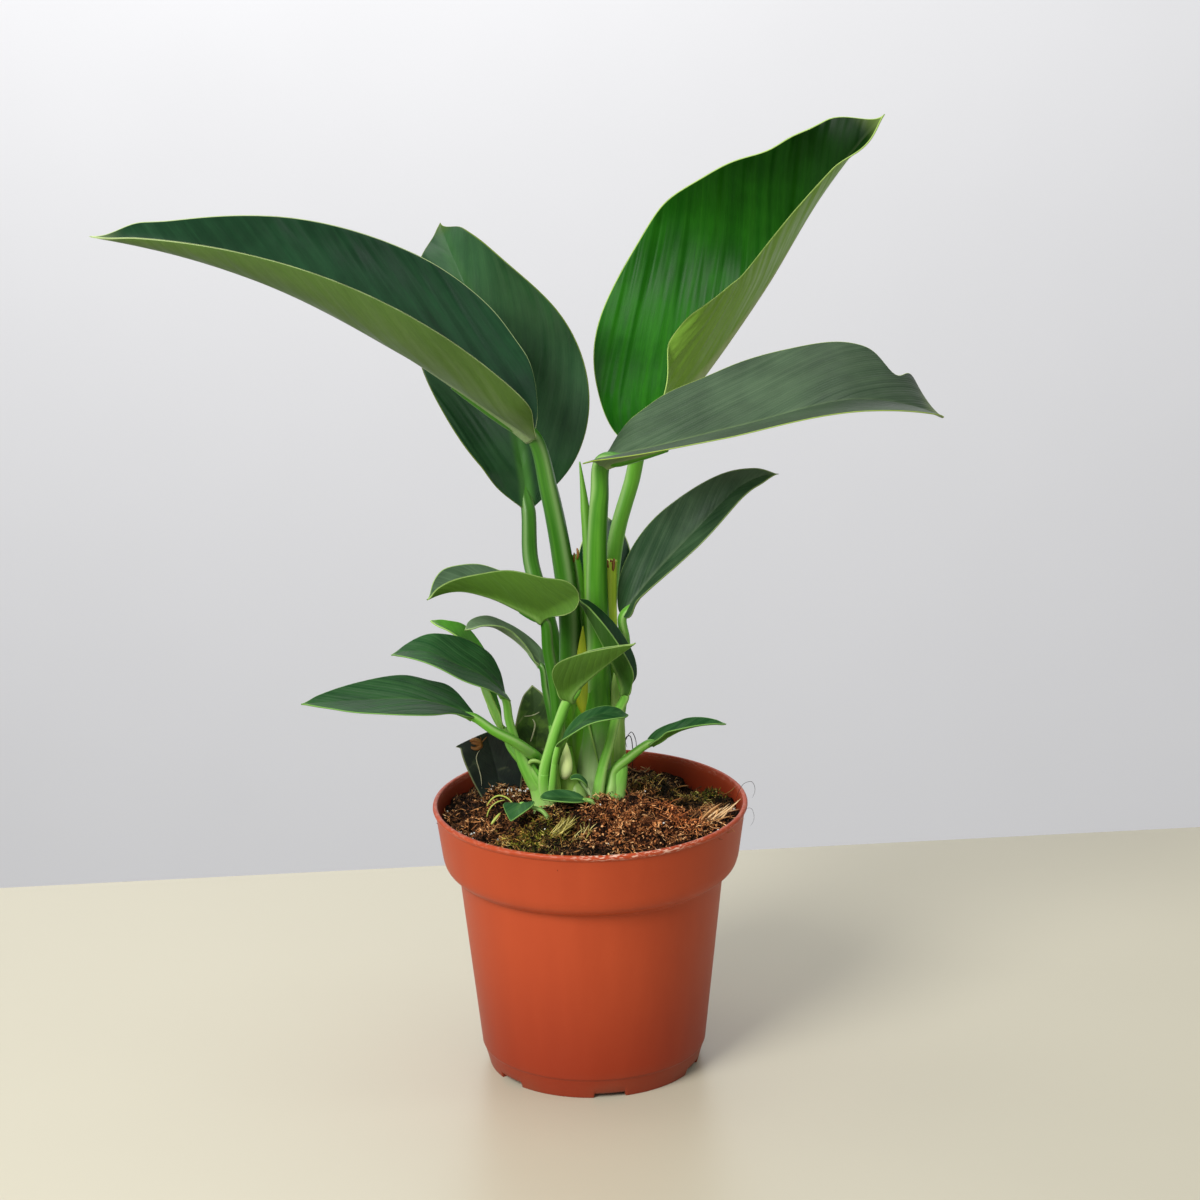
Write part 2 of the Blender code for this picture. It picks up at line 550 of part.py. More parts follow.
        fold=(10, 10), curl=(10, 10), grid=(6, 4),
        petiole=[(1.5, -15.5, 88), (1.5, -15.6, 95.3), (0.5, -16.2, 97.2)], radii=(0.8, 0.8, 0.8), rings=7,
    ),
    "leaf_baby_hook": dict(
        midrib=[(1, -12.5, 100), (-1, -12.7, 102.5), (-4, -13, 103.8), (-7.5, -13, 103)],
        roll=(-10, -10), half_width=1.6, widest=0.5, round=0.5,
        fold=(10, 10), curl=(10, 10), grid=(6, 4),
        petiole=[(1.5, -12, 88), (1.5, -12, 95), (1.1, -12.4, 99.6)], radii=(0.8, 0.7, 0.7), rings=6,
    ),
    "seedling_leaf": dict(
        midrib=[(-20, -20.5, 97.2), (-22, -21, 98), (-25, -22, 98), (-28, -22.5, 96.9)],
        half_width=3.6, widest=0.5, round=0.5,
        fold=(12, 12), curl=(8, 8), grid=(6, 4),
        petiole=[(-17.5, -20, 86), (-17.5, -20, 93.5), (-17.9, -20.1, 95.2), (-19.6, -20.4, 96.9)],
        radii=(0.7, 0.7, 0.7), rings=6,
    ),
}

# Bare stems: their points, radii, sheath below and looks
STEMS = {
    "petiole_stub_left": dict(
        petiole=[(-1.5, 10, 124), (-1.5, 9.5, 145), (-1.5, 9, 159), (-3, 8, 175.5)],
        radii=(1.6, 1.6, 1.5, 1.1), looks="stem",
        root=("main", [(-1, 8, 100), (-1.5, 10, 116)], (2.2, 1.8, 1.6)),
    ),
    "petiole_stub_right": dict(
        petiole=[(8.2, 5.2, 141), (7.8, 6.9, 156), (8.3, 7.6, 173.5)],
        radii=(1.9, 1.9, 2.0), looks="stem",
        root=("main", [(5.5, 7.5, 108), (7.6, 5.8, 125)], (2.6, 2.1, 1.9)),
    ),
    "spear": dict(
        petiole=[(0.5, 6.5, 128.5), (1, 6, 153), (1, 5, 174), (0, 4, 191.5), (-1.5, 3, 208)],
        radii=(1.3, 1.4, 1.4, 1.0, 0.4), looks="stem",
        root=("main", [(0, 6, 108), (0.5, 6.5, 119)], (1.8, 1.5, 1.3)),
    ),
}

# Pale buds and the torn edge of a sheath, grown into the main stem: points and radii
MAIN_BUDS = (
    ([(-4.8, -0.5, 95), (-7.5, -3.5, 104.5), (-7, -3.5, 110), (-6.5, -3, 114.5)], (2.0, 2.0, 1.6, 0.4)),
    ([(-6, -0.5, 107), (-7.5, -2, 115), (-7.5, -2.5, 121.5)], (1.6, 1.3, 0.35)),
    ([(6, 0, 106), (8.3, -1, 120), (8, -1, 135)], (2.4, 1.6, 0.35)),
)


def stem_path(stem):
    return smooth_path(stem["petiole"], 3 * len(stem["petiole"]) - 2)


def make_stem(name, stem):
    return finished(tube(name, stem_path(stem), stem["radii"], 8), name, LOOKS[stem["looks"]])


def make_arms(where):
    arms = []
    for name, piece in list(LEAVES.items()) + list(STEMS.items()):
        if "root" not in piece or piece["root"][0] != where:
            continue
        path = petiole_path(piece) if "midrib" in piece else stem_path(piece)
        arms.append(arm(name + " sheath", piece["root"][1], piece["root"][2], path[0], path[1] - path[0]))
    return arms


for leftover in list(bpy.data.objects):
    bpy.data.objects.remove(leftover)
WORKSHOP = bpy.data.collections.new("Workshop")
PLANT = bpy.data.collections.new("Potted philodendron")
bpy.context.scene.collection.children.link(WORKSHOP)
bpy.context.scene.collection.children.link(PLANT)
FRAME = bpy.data.objects.new("pot axis", None)
FRAME.location = (POT_AXIS_AT[0] * MM, POT_AXIS_AT[1] * MM, 0)
PLANT.objects.link(FRAME)

LOOKS = {
    "mature": material("mature leaf", GREEN_MATURE, 0.4),
    "bright": material("young leaf", GREEN_BRIGHT, 0.4),
    "stem": material("stem", GREEN_STEM, 0.45),
    "old": material("old leaf", GREEN_OLD, 0.6),
}

make_pot()
HOLES = [base[:4] for base in (MAIN_BASE, LEFT_BASE, RIGHT_BASE)]
for piece in LEAVES.values():
    if "root" not in piece:
        HOLES.append((*piece["petiole"][0][:2], piece["radii"][0] + 0.2, piece["petiole"][0][2]))
make_soil(HOLES)
buds = [tube("bud", smooth_path(points, 8), radii, 6) for points, radii in MAIN_BUDS]
make_base("main_stem", MAIN_BASE, make_arms("main") + buds, LOOKS["stem"])
make_base("offshoot_left", LEFT_BASE, make_arms("left"), LOOKS["stem"])
make_base("offshoot_right", RIGHT_BASE, make_arms("right"), LOOKS["stem"])
for name, piece in LEAVES.items():
    make_leaf(name, piece)
for name, piece in STEMS.items():
    make_stem(name, piece)
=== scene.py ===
# %% [markdown]
# # A potted philodendron
# A young philodendron stands in a moulded nursery pot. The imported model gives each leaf, stalk and the pot as
# a plain solid. This lesson dresses those solids: every leaf becomes a thin shell with a midrib, side veins
# and a fine margin, every stalk a channelled tube, and the soil a tangle of peat and fibres.

import json
import math

import bpy
import numpy as np
from mathutils import Matrix

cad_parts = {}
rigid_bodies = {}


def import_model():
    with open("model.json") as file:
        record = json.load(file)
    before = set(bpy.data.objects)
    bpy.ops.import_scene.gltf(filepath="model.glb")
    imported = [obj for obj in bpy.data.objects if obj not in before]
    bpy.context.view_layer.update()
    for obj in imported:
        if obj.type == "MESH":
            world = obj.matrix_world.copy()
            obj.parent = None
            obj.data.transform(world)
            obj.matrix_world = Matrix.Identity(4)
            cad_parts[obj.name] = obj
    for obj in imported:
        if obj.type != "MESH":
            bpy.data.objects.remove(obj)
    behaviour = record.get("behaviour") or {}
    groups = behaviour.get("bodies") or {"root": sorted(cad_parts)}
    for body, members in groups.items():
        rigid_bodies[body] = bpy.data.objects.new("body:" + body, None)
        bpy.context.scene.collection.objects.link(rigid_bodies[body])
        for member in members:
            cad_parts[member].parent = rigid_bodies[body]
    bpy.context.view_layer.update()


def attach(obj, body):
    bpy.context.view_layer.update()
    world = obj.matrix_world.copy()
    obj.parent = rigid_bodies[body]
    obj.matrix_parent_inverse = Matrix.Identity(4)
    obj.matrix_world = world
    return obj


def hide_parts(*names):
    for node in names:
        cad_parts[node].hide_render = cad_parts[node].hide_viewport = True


for leftover in list(bpy.data.objects):
    bpy.data.objects.remove(leftover)
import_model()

# %% [markdown]
# ## One frame for everything
# All lengths below are millimetres in the pot's own frame. The pot's axis is the Z axis there, the pot stands
# on z = 0 and the front is -Y. The row's frame is in metres, with the whole plant's box over its origin, so
# one helper moves points from the first to the second.

# %% Lengths and places
MM = 0.001
POT_AXIS_AT = np.array((19.6, -16.4, 0.0))
FULL_TURN = 2 * math.pi


def in_world(points):
    """Millimetres in the pot's frame to metres in the row's frame: the pot's place is added, then scaled."""
    return (np.asarray(points, float) + POT_AXIS_AT) * MM


def unit(vectors):
    """Each vector divided by its length."""
    return vectors / np.maximum(np.linalg.norm(vectors, axis=-1, keepdims=True), 1e-9)


def eased(share):
    """A share from 0 to 1 that starts and ends slowly: three times its square less twice its cube."""
    return share**2 * (3 - 2 * share)


def length_so_far(path):
    """At each point of a path, the sum of the steps that lead to it."""
    return np.concatenate([[0], np.cumsum(np.linalg.norm(np.diff(path, axis=0), axis=1))])


print("the pot's axis stands at, in metres:", in_world((0, 0, 0)))

# %% [markdown]
# ## The camera
# The photograph was taken a little from above with a long lens. The rim and the foot of the pot are circles,
# so their ellipses in the picture give the camera's height, tilt and distance. A Blender camera looks along
# its own -Z, so its matrix holds the picture's right, the picture's up and the reverse of the view.

# %% Camera
CAMERA_AT = np.array((0.0, -1220.2, 540.5))
PITCH, YAW, ROLL = (math.radians(angle) for angle in (17.242, 0.205, -0.926))
PICTURE_SIZE, FOCAL_PIXELS, SENSOR = 1200, 3898.0, 36.0

forward = np.array((math.sin(YAW) * math.cos(PITCH), math.cos(YAW) * math.cos(PITCH), -math.sin(PITCH)))
level = unit(np.cross(forward, (0, 0, 1)))
picture_right = math.cos(ROLL) * level + math.sin(ROLL) * np.cross(level, forward)
picture_up = np.cross(picture_right, forward)

camera_data = bpy.data.cameras.new("camera")
camera_data.sensor_width = SENSOR
camera_data.lens = FOCAL_PIXELS * SENSOR / PICTURE_SIZE
camera_data.clip_start, camera_data.clip_end = 0.01, 50
camera = bpy.data.objects.new("camera", camera_data)
bpy.context.scene.collection.objects.link(camera)
turn = np.eye(4)
turn[:3, :3] = np.stack([picture_right, picture_up, -forward], 1)
turn[:3, 3] = in_world(CAMERA_AT)
camera.matrix_world = Matrix(turn.tolist())
bpy.context.scene.camera = camera
bpy.context.scene.view_settings.view_transform = "Standard"
print("lens in mm:", round(camera_data.lens, 2))

# %% [markdown]
# ## From arrays to a mesh
# Almost every shape in this lesson is a stack of closed rings. A stalk is rings along a path, a leaf is flat
# rings from its base to its tip, and the pot is rings round its axis. Neighbouring rings are joined by quads
# and both ends are closed by a fan round one middle point, so each shape is a closed shell. The sign of its
# volume tells whether its faces point outwards.

# %% Rings to shells
def signed_volume(points, faces):
    """Six times the volume inside triangles of points: above zero when they point outwards."""
    first, second, third = (points[faces[:, corner]] for corner in range(3))
    return np.einsum("ij,ij->i", first, np.cross(second, third)).sum()


def ring_faces(rows, columns):
    """Quads between neighbouring rings, and a fan of triangles at each end round two added points."""
    row, column = np.meshgrid(np.arange(rows - 1), np.arange(columns), indexing="ij")
    after = (column + 1) % columns
    here, above = row * columns, (row + 1) * columns
    quads = np.stack([here + column, here + after, above + after, above + column], -1).reshape(-1, 4)
    turn_on = np.arange(columns)
    turn_after = (turn_on + 1) % columns
    last, middle = (rows - 1) * columns, np.full(columns, rows * columns)
    first_fan = np.stack([turn_after, turn_on, middle], 1)
    last_fan = np.stack([last + turn_on, last + turn_after, middle + 1], 1)
    return quads, np.concatenate([first_fan, last_fan])


def shell(rings, fields=None, look=0):
    """A closed shell from rings (rows, columns, 3); fields give a number or a vector for every ring point."""
    rows, columns = rings.shape[:2]
    points = np.concatenate([rings.reshape(-1, 3), rings[[0, -1]].mean(1)])
    quads, triangles = ring_faces(rows, columns)
    if signed_volume(points, np.concatenate([quads[:, :3], quads[:, [0, 2, 3]], triangles])) < 0:
        quads, triangles = quads[:, ::-1], triangles[:, ::-1]
    kept = {}
    for name, values in (fields or {}).items():
        values = values.reshape(rows, columns, -1)
        kept[name] = np.concatenate([values.reshape(rows * columns, -1), values[[0, -1]].mean(1)])
    return dict(points=points, faces=[quads, triangles], fields=kept, look=look)


print("faces of three rings of four points:", [len(block) for block in ring_faces(3, 4)])

# %% [markdown]
# ## From shells to a piece
# A piece of the plant is one mesh object made of several shells, each with its own finish. What the finish
# has to know about a point, such as its distance from the leaf's margin, is kept there as an attribute. Every
# piece rides on the one body that the frame has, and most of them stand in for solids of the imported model.

# %% Shells to pieces
def make_piece(name, shells, materials, sharp_degrees=None):
    """One mesh object from closed shells, in the row's frame, with their fields kept as point attributes."""
    faces, looks, first = [], [], 0
    for part in shells:
        for block in part["faces"]:
            faces += (block + first).tolist()
            looks += [part["look"]] * len(block)
        first += len(part["points"])
    mesh = bpy.data.meshes.new(name)
    mesh.from_pydata(in_world(np.concatenate([part["points"] for part in shells])), [], faces)
    mesh.polygons.foreach_set("material_index", looks)
    for key in sorted({key for part in shells for key in part["fields"]}):
        width = max(part["fields"][key].shape[1] for part in shells if key in part["fields"])
        blank = [np.zeros((len(part["points"]), width)) for part in shells]
        values = np.concatenate([part["fields"].get(key, none) for part, none in zip(shells, blank)])
        kind, entry = ("FLOAT_VECTOR", "vector") if width == 3 else ("FLOAT", "value")
        mesh.attributes.new(key, kind, "POINT").data.foreach_set(entry, values.astype(np.float32).ravel())
    for material in materials:
        mesh.materials.append(material)
    mesh.shade_smooth()
    if sharp_degrees:
        mesh.set_sharp_from_angle(angle=math.radians(sharp_degrees))
    mesh.update()
    made = bpy.data.objects.new(name, mesh)
    bpy.context.scene.collection.objects.link(made)
    return made


def settle(made, slot_name, *nodes):
    """Lets the piece ride on the one body and stands in for the named solids; slot_name is not used."""
    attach(made, "root")
    if nodes:
        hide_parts(*nodes)
    print(made.name, len(made.data.polygons), "faces")


# %% [markdown]
# ## Shader graphs as sums
# A material is a small graph of nodes. To keep the graphs short to write, a node's output is wrapped in a
# Signal: adding, scaling or easing it adds the node that does so, and the line of code reads like a sum.

# %% Node helpers
EVEN = (1.0, 1.0, 1.0)


class Signal:
    """One output of a node; arithmetic on it and its methods add the nodes that carry it on."""

    def __init__(self, node, output=0):
        """Keeps the node's tree and the socket of its output."""
        self.tree, self.socket = node.id_data, node.outputs[output]

    def math(self, operation, other=None, clamp=False):
        """A Math node's result on this and the other."""
        feeds = {0: self} if other is None else {0: self, 1: other}
        return Signal(add_node(self.tree, "ShaderNodeMath", feeds, operation=operation, use_clamp=clamp))

    def vector(self, operation, other, output=0):
        """A Vector Math node's result on this and the other."""
        node = add_node(self.tree, "ShaderNodeVectorMath", {0: self, 1: other}, operation=operation)
        return Signal(node, output)

    def ease(self, low, high, first=0.0, last=1.0):
        """The first value below low, the last above high, and a smooth S between them."""
        feeds = {"Value": self, "From Min": low, "From Max": high, "To Min": first, "To Max": last}
        node = add_node(self.tree, "ShaderNodeMapRange", feeds, interpolation_type="SMOOTHSTEP")
        return Signal(node, "Result")

    def part(self, axis):
        """One coordinate of a vector."""
        return Signal(add_node(self.tree, "ShaderNodeSeparateXYZ", {0: self}), axis)

    def grey(self):
        """A grey colour as bright as the number."""
        return Signal(add_node(self.tree, "ShaderNodeCombineColor", {0: self, 1: self, 2: self}))

    def __add__(self, other):
        """The sum."""
        return self.math("ADD", other)

    def __sub__(self, other):
        """The difference."""
        return self.math("SUBTRACT", other)

    def __mul__(self, other):
        """The product."""
        return self.math("MULTIPLY", other)

    def __truediv__(self, other):
        """The quotient."""
        return self.math("DIVIDE", other)


def add_node(tree, kind, feeds=None, **settings):
    """Adds a node with its settings; feeds gives each input a plain value or a signal."""
    made = tree.nodes.new(kind)
    for key, value in settings.items():
        setattr(made, key, value)
    for key, value in (feeds or {}).items():
        if isinstance(value, Signal):
            tree.links.new(value.socket, made.inputs[key])
        else:
            made.inputs[key].default_value = value
    return made


# %% [markdown]
# ## Colours, places and noise
# The finishes are made from a few ingredients: colours that are mixed by a share, values that the mesh
# carries, the place on the object, and noise that can be drawn out along one axis. Everything is measured on
# the object itself, so a finish moves with its piece.

# %% Colour and noise helpers
def as_input(value):
    """Three numbers, a colour from 0 to 255 as a screen shows it, made linear; any other value unchanged."""
    if not isinstance(value, tuple) or len(value) != 3:
        return value
    share = np.array(value) / 255
    linear = np.where(share <= 0.04045, share / 12.92, ((share + 0.055) / 1.055) ** 2.4)
    return (*linear.tolist(), 1.0)


def blend(share, first, second, kind="MIX"):
    """Two colours mixed by a share; with MULTIPLY the second tints the first."""
    tree = next(part.tree for part in (share, first, second) if isinstance(part, Signal))
    feeds = {0: share, 6: as_input(first), 7: as_input(second)}
    return Signal(add_node(tree, "ShaderNodeMix", feeds, data_type="RGBA", blend_type=kind), 2)


def field(tree, name, output="Fac"):
    """A value that the piece carries at its points."""
    return Signal(add_node(tree, "ShaderNodeAttribute", attribute_name=name), output)


def place(tree):
    """The place on the object in metres, in the row's frame."""
    return Signal(add_node(tree, "ShaderNodeTexCoord"), "Object")


def in_pot(tree):
    """The place on the object in metres from the foot of the pot's axis."""
    return place(tree).vector("SUBTRACT", tuple((POT_AXIS_AT * MM).tolist()))


def grain(at, stretch, scale, detail=3.0, rough=0.5):
    """Noise from 0 to 1 at a vector whose axes are scaled first; a small factor draws it out that way."""
    feeds = {"Vector": at.vector("MULTIPLY", stretch), "Scale": scale, "Detail": detail, "Roughness": rough}
    return Signal(add_node(at.tree, "ShaderNodeTexNoise", feeds, noise_dimensions="3D"))


# %% [markdown]
# ## Skins and materials
# A skin is a node group that several materials share. A material fills in its own colours and numbers, turns
# the skin's height into relief, and holds the Principled shader that the three results feed.

# %% Skins and materials
def new_skin(name, inputs):
    """An empty finish with named colours and numbers as inputs; returns its tree and the inputs' signals."""
    tree = bpy.data.node_groups.new(name, "ShaderNodeTree")
    for label, value in inputs.items():
        kind = "NodeSocketFloat" if isinstance(value, float) else "NodeSocketColor"
        tree.interface.new_socket(label, in_out="INPUT", socket_type=kind).default_value = as_input(value)
    for label, kind in (("Colour", "Color"), ("Roughness", "Float"), ("Height", "Float")):
        tree.interface.new_socket(label, in_out="OUTPUT", socket_type="NodeSocket" + kind)
    entry = tree.nodes.new("NodeGroupInput")
    return tree, {label: Signal(entry, label) for label in inputs}


def close_skin(tree, colour, rough, height):
    """Joins the three results to the group's outputs."""
    add_node(tree, "NodeGroupOutput", {"Colour": colour, "Roughness": rough, "Height": height})
    print(tree.name, len(tree.nodes), "nodes")
    return tree


def new_material(name, skin, bump, specular=0.5, **values):
    """A Principled material fed by a skin with its own values; bump is the height of its relief in mm."""
    made = bpy.data.materials.new(name)
    made.use_nodes = True
    tree = made.node_tree
    group = add_node(tree, "ShaderNodeGroup", node_tree=skin)
    for key, value in values.items():
        group.inputs[key.replace("_", " ")].default_value = as_input(value)
    relief = add_node(tree, "ShaderNodeBump", {"Height": Signal(group, "Height"), "Distance": bump * MM})
    shader = tree.nodes["Principled BSDF"]
    tree.links.new(group.outputs["Colour"], shader.inputs["Base Color"])
    tree.links.new(group.outputs["Roughness"], shader.inputs["Roughness"])
    tree.links.new(relief.outputs[0], shader.inputs["Normal"])
    shader.inputs["Specular IOR Level"].default_value = specular
    return made


# %% [markdown]
# ## The finish of a leaf
# A philodendron leaf is dark and waxy above, paler and duller below. Side veins leave the midrib at an angle
# and sweep toward the tip, with many finer ones between them, and the skin between the veins is softly
# quilted. The margin is a thin line of clear yellow-green and the midrib is pale. Each blade carries the
# coordinates that this needs: the distance along its veins and across them, its distance from the midrib and
# from the margin in millimetres, the share of its length, and which face it is on.

# %% Leaf skin
tree, given = new_skin("leaf skin", {
    "Upper": (40, 80, 45), "Streak": (60, 110, 60), "Under": (100, 135, 70), "Rib": (120, 160, 90),
    "Margin": (130, 170, 60), "Upper Rib": 0.5, "Upper Rib Width": 1.0, "Under Rib Width": 3.0,
    "Vein Spacing": 6.0, "Vein Strength": 0.5, "Streak Strength": 0.5, "Gloss": 0.35, "Under Gloss": 0.5,
    "Margin Width": 0.4, "Tip Shade": 1.0, "Quilting": 1.0,
})
TIP_YELLOW = 0.3
veins, share_along = field(tree, "grain", "Vector"), field(tree, "share")
from_rib, from_edge, upper_face = field(tree, "rib"), field(tree, "edge"), field(tree, "face")
fine = grain(veins, (1.0, 0.035, 1.0), 1.9, 4.0, 0.6)
broad = grain(veins, (1.0, 0.05, 1.0), 0.22, 2.0, 0.5)
quilt = grain(veins, (1.0, 0.4, 1.0), 0.09, 1.0, 0.4)
clouds = grain(place(tree), EVEN, 45.0, 3.0, 0.55)
speck = grain(place(tree), EVEN, 1600.0, 2.0, 0.5)
dapple = grain(veins, (1.0, 0.3, 1.0), 1.4, 3.0, 0.7).ease(0.3, 0.7, 0.9, 1.1)

wander = clouds * 2.2 + veins.part(0)
cycle = (wander / given["Vein Spacing"]).math("FRACT")
from_vein = (cycle - 0.5).math("ABSOLUTE")
valley = from_vein.ease(0.38, 0.5) * fine.ease(0.3, 0.6, 0.35, 1.0) * given["Vein Strength"]
streaks = (fine * 0.3 + broad * 0.4 + clouds * 0.3).ease(0.36, 0.66)

upper = blend(streaks * given["Streak Strength"], given["Upper"], given["Streak"])
upper = blend(valley * 0.6, upper, given["Streak"])
# Painted shade: with Tip Shade below one the upper face darkens toward the tip; clouds and dapple are random
# tone.
shade = clouds.ease(0.3, 0.7, 0.8, 1.12) * share_along.ease(0.4, 0.95, 1.0, given["Tip Shade"]) * dapple
upper = blend(1.0, upper, shade.grey(), "MULTIPLY")
rib_line = (from_rib / given["Upper Rib Width"]).ease(0.25, 1.1, 1.0, 0.0)
upper = blend(rib_line * share_along.ease(0.0, 0.85, 1.0, 0.15) * given["Upper Rib"], upper, given["Rib"])

under = blend(streaks * 0.14, given["Under"], given["Upper"])
rib_width = given["Under Rib Width"] * share_along.ease(0.0, 1.0, 1.0, 0.12)
under = blend((from_rib / rib_width).ease(0.2, 1.0, 0.9, 0.0), under, given["Rib"])
under = blend(valley * 0.12, under, given["Rib"])
under = blend(1.0, under, dapple.grey(), "MULTIPLY")

colour = blend(upper_face, under, upper)
colour = blend(share_along.ease(0.93, 1.0) * TIP_YELLOW, colour, given["Margin"])
colour = blend((from_edge / given["Margin Width"]).ease(0.7, 1.5, 0.95, 0.0), colour, given["Margin"])
gloss = given["Under Gloss"] + upper_face * (given["Gloss"] - given["Under Gloss"])
rough = gloss.math("ADD", streaks * 0.12 + clouds * 0.2 - 0.16, clamp=True)
swell = from_vein * from_vein * -2.2 * given["Vein Strength"]
height = swell + fine * 0.16 + speck * 0.05 + quilt * 5.0 * given["Quilting"]
LEAF_SKIN = close_skin(tree, colour, rough, height)

# %% [markdown]
# ## Leaf finishes by age
# Old, hardened leaves are blue-green and dark. The newest large leaf is still a clear, glossy green, and part
# of that green is painted light, for the light that shines through it; its tip is painted darker as painted
# shade. The two leaves that lean into the light look greyer, because their wax scatters it, and the young
# leaves' grey upper faces are a painted sheen. Each of these is the same skin with its own colours.

# %% Leaf materials
LEAF_LOOKS = {
    "dark": dict(
        bump=0.12, specular=0.22, Upper=(15, 52, 27), Streak=(34, 78, 44), Under=(80, 110, 44),
        Rib=(132, 158, 104), Margin=(184, 204, 140), Vein_Spacing=9.0, Vein_Strength=0.3, Streak_Strength=0.4,
        Gloss=0.36, Under_Gloss=0.46, Upper_Rib=0.2, Under_Rib_Width=12.0, Margin_Width=0.25, Quilting=2.8,
    ),
    "back": dict(
        bump=0.12, specular=0.32, Upper=(30, 68, 36), Streak=(52, 93, 50), Under=(82, 112, 50),
        Rib=(66, 118, 46), Margin=(104, 122, 36), Vein_Spacing=8.0, Vein_Strength=0.2, Streak_Strength=0.4,
        Gloss=0.36, Upper_Rib=1.0, Upper_Rib_Width=3.4, Margin_Width=0.25, Quilting=1.6,
    ),
    # The newest leaf's clear green is partly its own colour and partly painted light, for the light through it.
    "bright": dict(
        bump=0.2, specular=0.1, Upper=(18, 82, 4), Streak=(42, 112, 14), Under=(122, 164, 60),
        Rib=(164, 180, 130), Margin=(176, 206, 110), Vein_Spacing=13.0, Vein_Strength=0.2, Gloss=0.42,
        Under_Gloss=0.42, Upper_Rib=0.3, Under_Rib_Width=6.0, Margin_Width=0.3, Tip_Shade=0.2, Quilting=2.6,
    ),
    "satin": dict(
        bump=0.12, specular=0.3, Upper=(47, 71, 45), Streak=(80, 101, 73), Under=(110, 132, 90),
        Rib=(140, 164, 100), Margin=(160, 186, 70), Vein_Spacing=3.4, Vein_Strength=0.9, Streak_Strength=0.6,
        Gloss=0.46, Upper_Rib=0.3, Margin_Width=0.25, Tip_Shade=0.8,
    ),
    "slate": dict(
        bump=0.1, specular=0.25, Upper=(38, 68, 40), Streak=(74, 100, 68), Under=(108, 126, 92),
        Rib=(130, 152, 110), Margin=(124, 146, 84), Vein_Spacing=3.2, Vein_Strength=0.4, Streak_Strength=0.6,
        Gloss=0.38, Upper_Rib=0.2, Under_Rib_Width=2.0, Margin_Width=0.2,
    ),
    # The young leaves' grey upper face is a painted sheen.
    "young": dict(
        bump=0.14, specular=0.1, Upper=(66, 92, 64), Streak=(98, 124, 92), Under=(77, 114, 36),
        Rib=(110, 146, 70), Margin=(150, 180, 100), Vein_Spacing=3.8, Vein_Strength=0.7, Streak_Strength=0.6,
        Gloss=0.54, Under_Gloss=0.56, Upper_Rib=0.35, Under_Rib_Width=1.6, Margin_Width=0.2,
    ),
    "shoot": dict(
        bump=0.14, specular=0.1, Upper=(25, 68, 31), Streak=(68, 110, 62), Under=(80, 130, 46),
        Rib=(112, 160, 74), Margin=(120, 164, 80), Vein_Spacing=4.4, Vein_Strength=0.6, Streak_Strength=0.6,
        Under_Gloss=0.55, Gloss=0.5, Upper_Rib=0.15, Under_Rib_Width=1.6, Margin_Width=0.18,
    ),
    "pale": dict(
        bump=0.1, specular=0.2, Upper=(84, 112, 76), Streak=(120, 146, 108), Under=(122, 150, 98),
        Rib=(150, 176, 120), Margin=(150, 180, 110), Vein_Spacing=2.6, Gloss=0.4, Upper_Rib=0.3,
        Under_Rib_Width=1.4, Margin_Width=0.18,
    ),
    "shaded": dict(
        bump=0.1, specular=0.25, Upper=(18, 60, 26), Streak=(44, 88, 40), Under=(56, 98, 30),
        Rib=(110, 150, 70), Margin=(130, 170, 84), Vein_Spacing=4.4, Vein_Strength=0.3, Streak_Strength=0.4,
        Gloss=0.36, Upper_Rib=0.2, Under_Rib_Width=1.4, Margin_Width=0.18,
    ),
    "fresh": dict(
        bump=0.08, specular=0.25, Upper=(74, 144, 38), Streak=(112, 176, 70), Under=(110, 168, 62),
        Rib=(150, 190, 100), Margin=(160, 200, 100), Vein_Spacing=3.4, Vein_Strength=0.3,
        Streak_Strength=0.4, Gloss=0.36, Upper_Rib=0.3, Under_Rib_Width=1.4, Margin_Width=0.2,
    ),
}
SKINS = {name: new_material("leaf " + name, LEAF_SKIN, **look) for name, look in LEAF_LOOKS.items()}
print("leaf finishes:", len(SKINS))

# %% [markdown]
# ## The finish of a stalk
# The stalks are smooth and juicy. They are nearly white where the soil kept the light off them and turn clear
# green higher up, with fine streaks along their length. The edges of their channel carry a pale line, a
# painted highlight where they catch the light. The streaks follow each stalk, because its points carry their
# own place round it and along it.

# %% Stalk skin and materials
tree, given = new_skin("stalk skin", {
    "Stem": (92, 150, 52), "Deep": (60, 118, 36), "Pale": (176, 200, 140), "Pale From": 0.092,
    "Pale To": 0.125, "Ridge": 0.5, "Streaks": 0.8,
})
streaks = grain(field(tree, "grain", "Vector"), (1.0, 1.0, 0.03), given["Streaks"])
clouds = grain(place(tree), (1.0, 1.0, 0.6), 90.0)
dots = grain(place(tree), (1.0, 1.0, 0.7), 900.0, 2.0, 0.6)
height_here = place(tree).part(2) + streaks * 0.012 + clouds * 0.012 - 0.012
colour = blend(streaks.ease(0.3, 0.72, 0.25, 0.9), given["Deep"], given["Stem"])
colour = blend(clouds.ease(0.35, 0.75, 0.0, 0.35), colour, given["Deep"])
colour = blend(height_here.ease(given["Pale From"], given["Pale To"], 0.92, 0.0), colour, given["Pale"])
# Painted highlight: a pale line along the ridges beside the channel.
colour = blend(field(tree, "ridge") * given["Ridge"], colour, given["Pale"])
STALK_SKIN = close_skin(tree, colour, clouds * 0.15 + 0.29, dots * 0.15 + streaks)
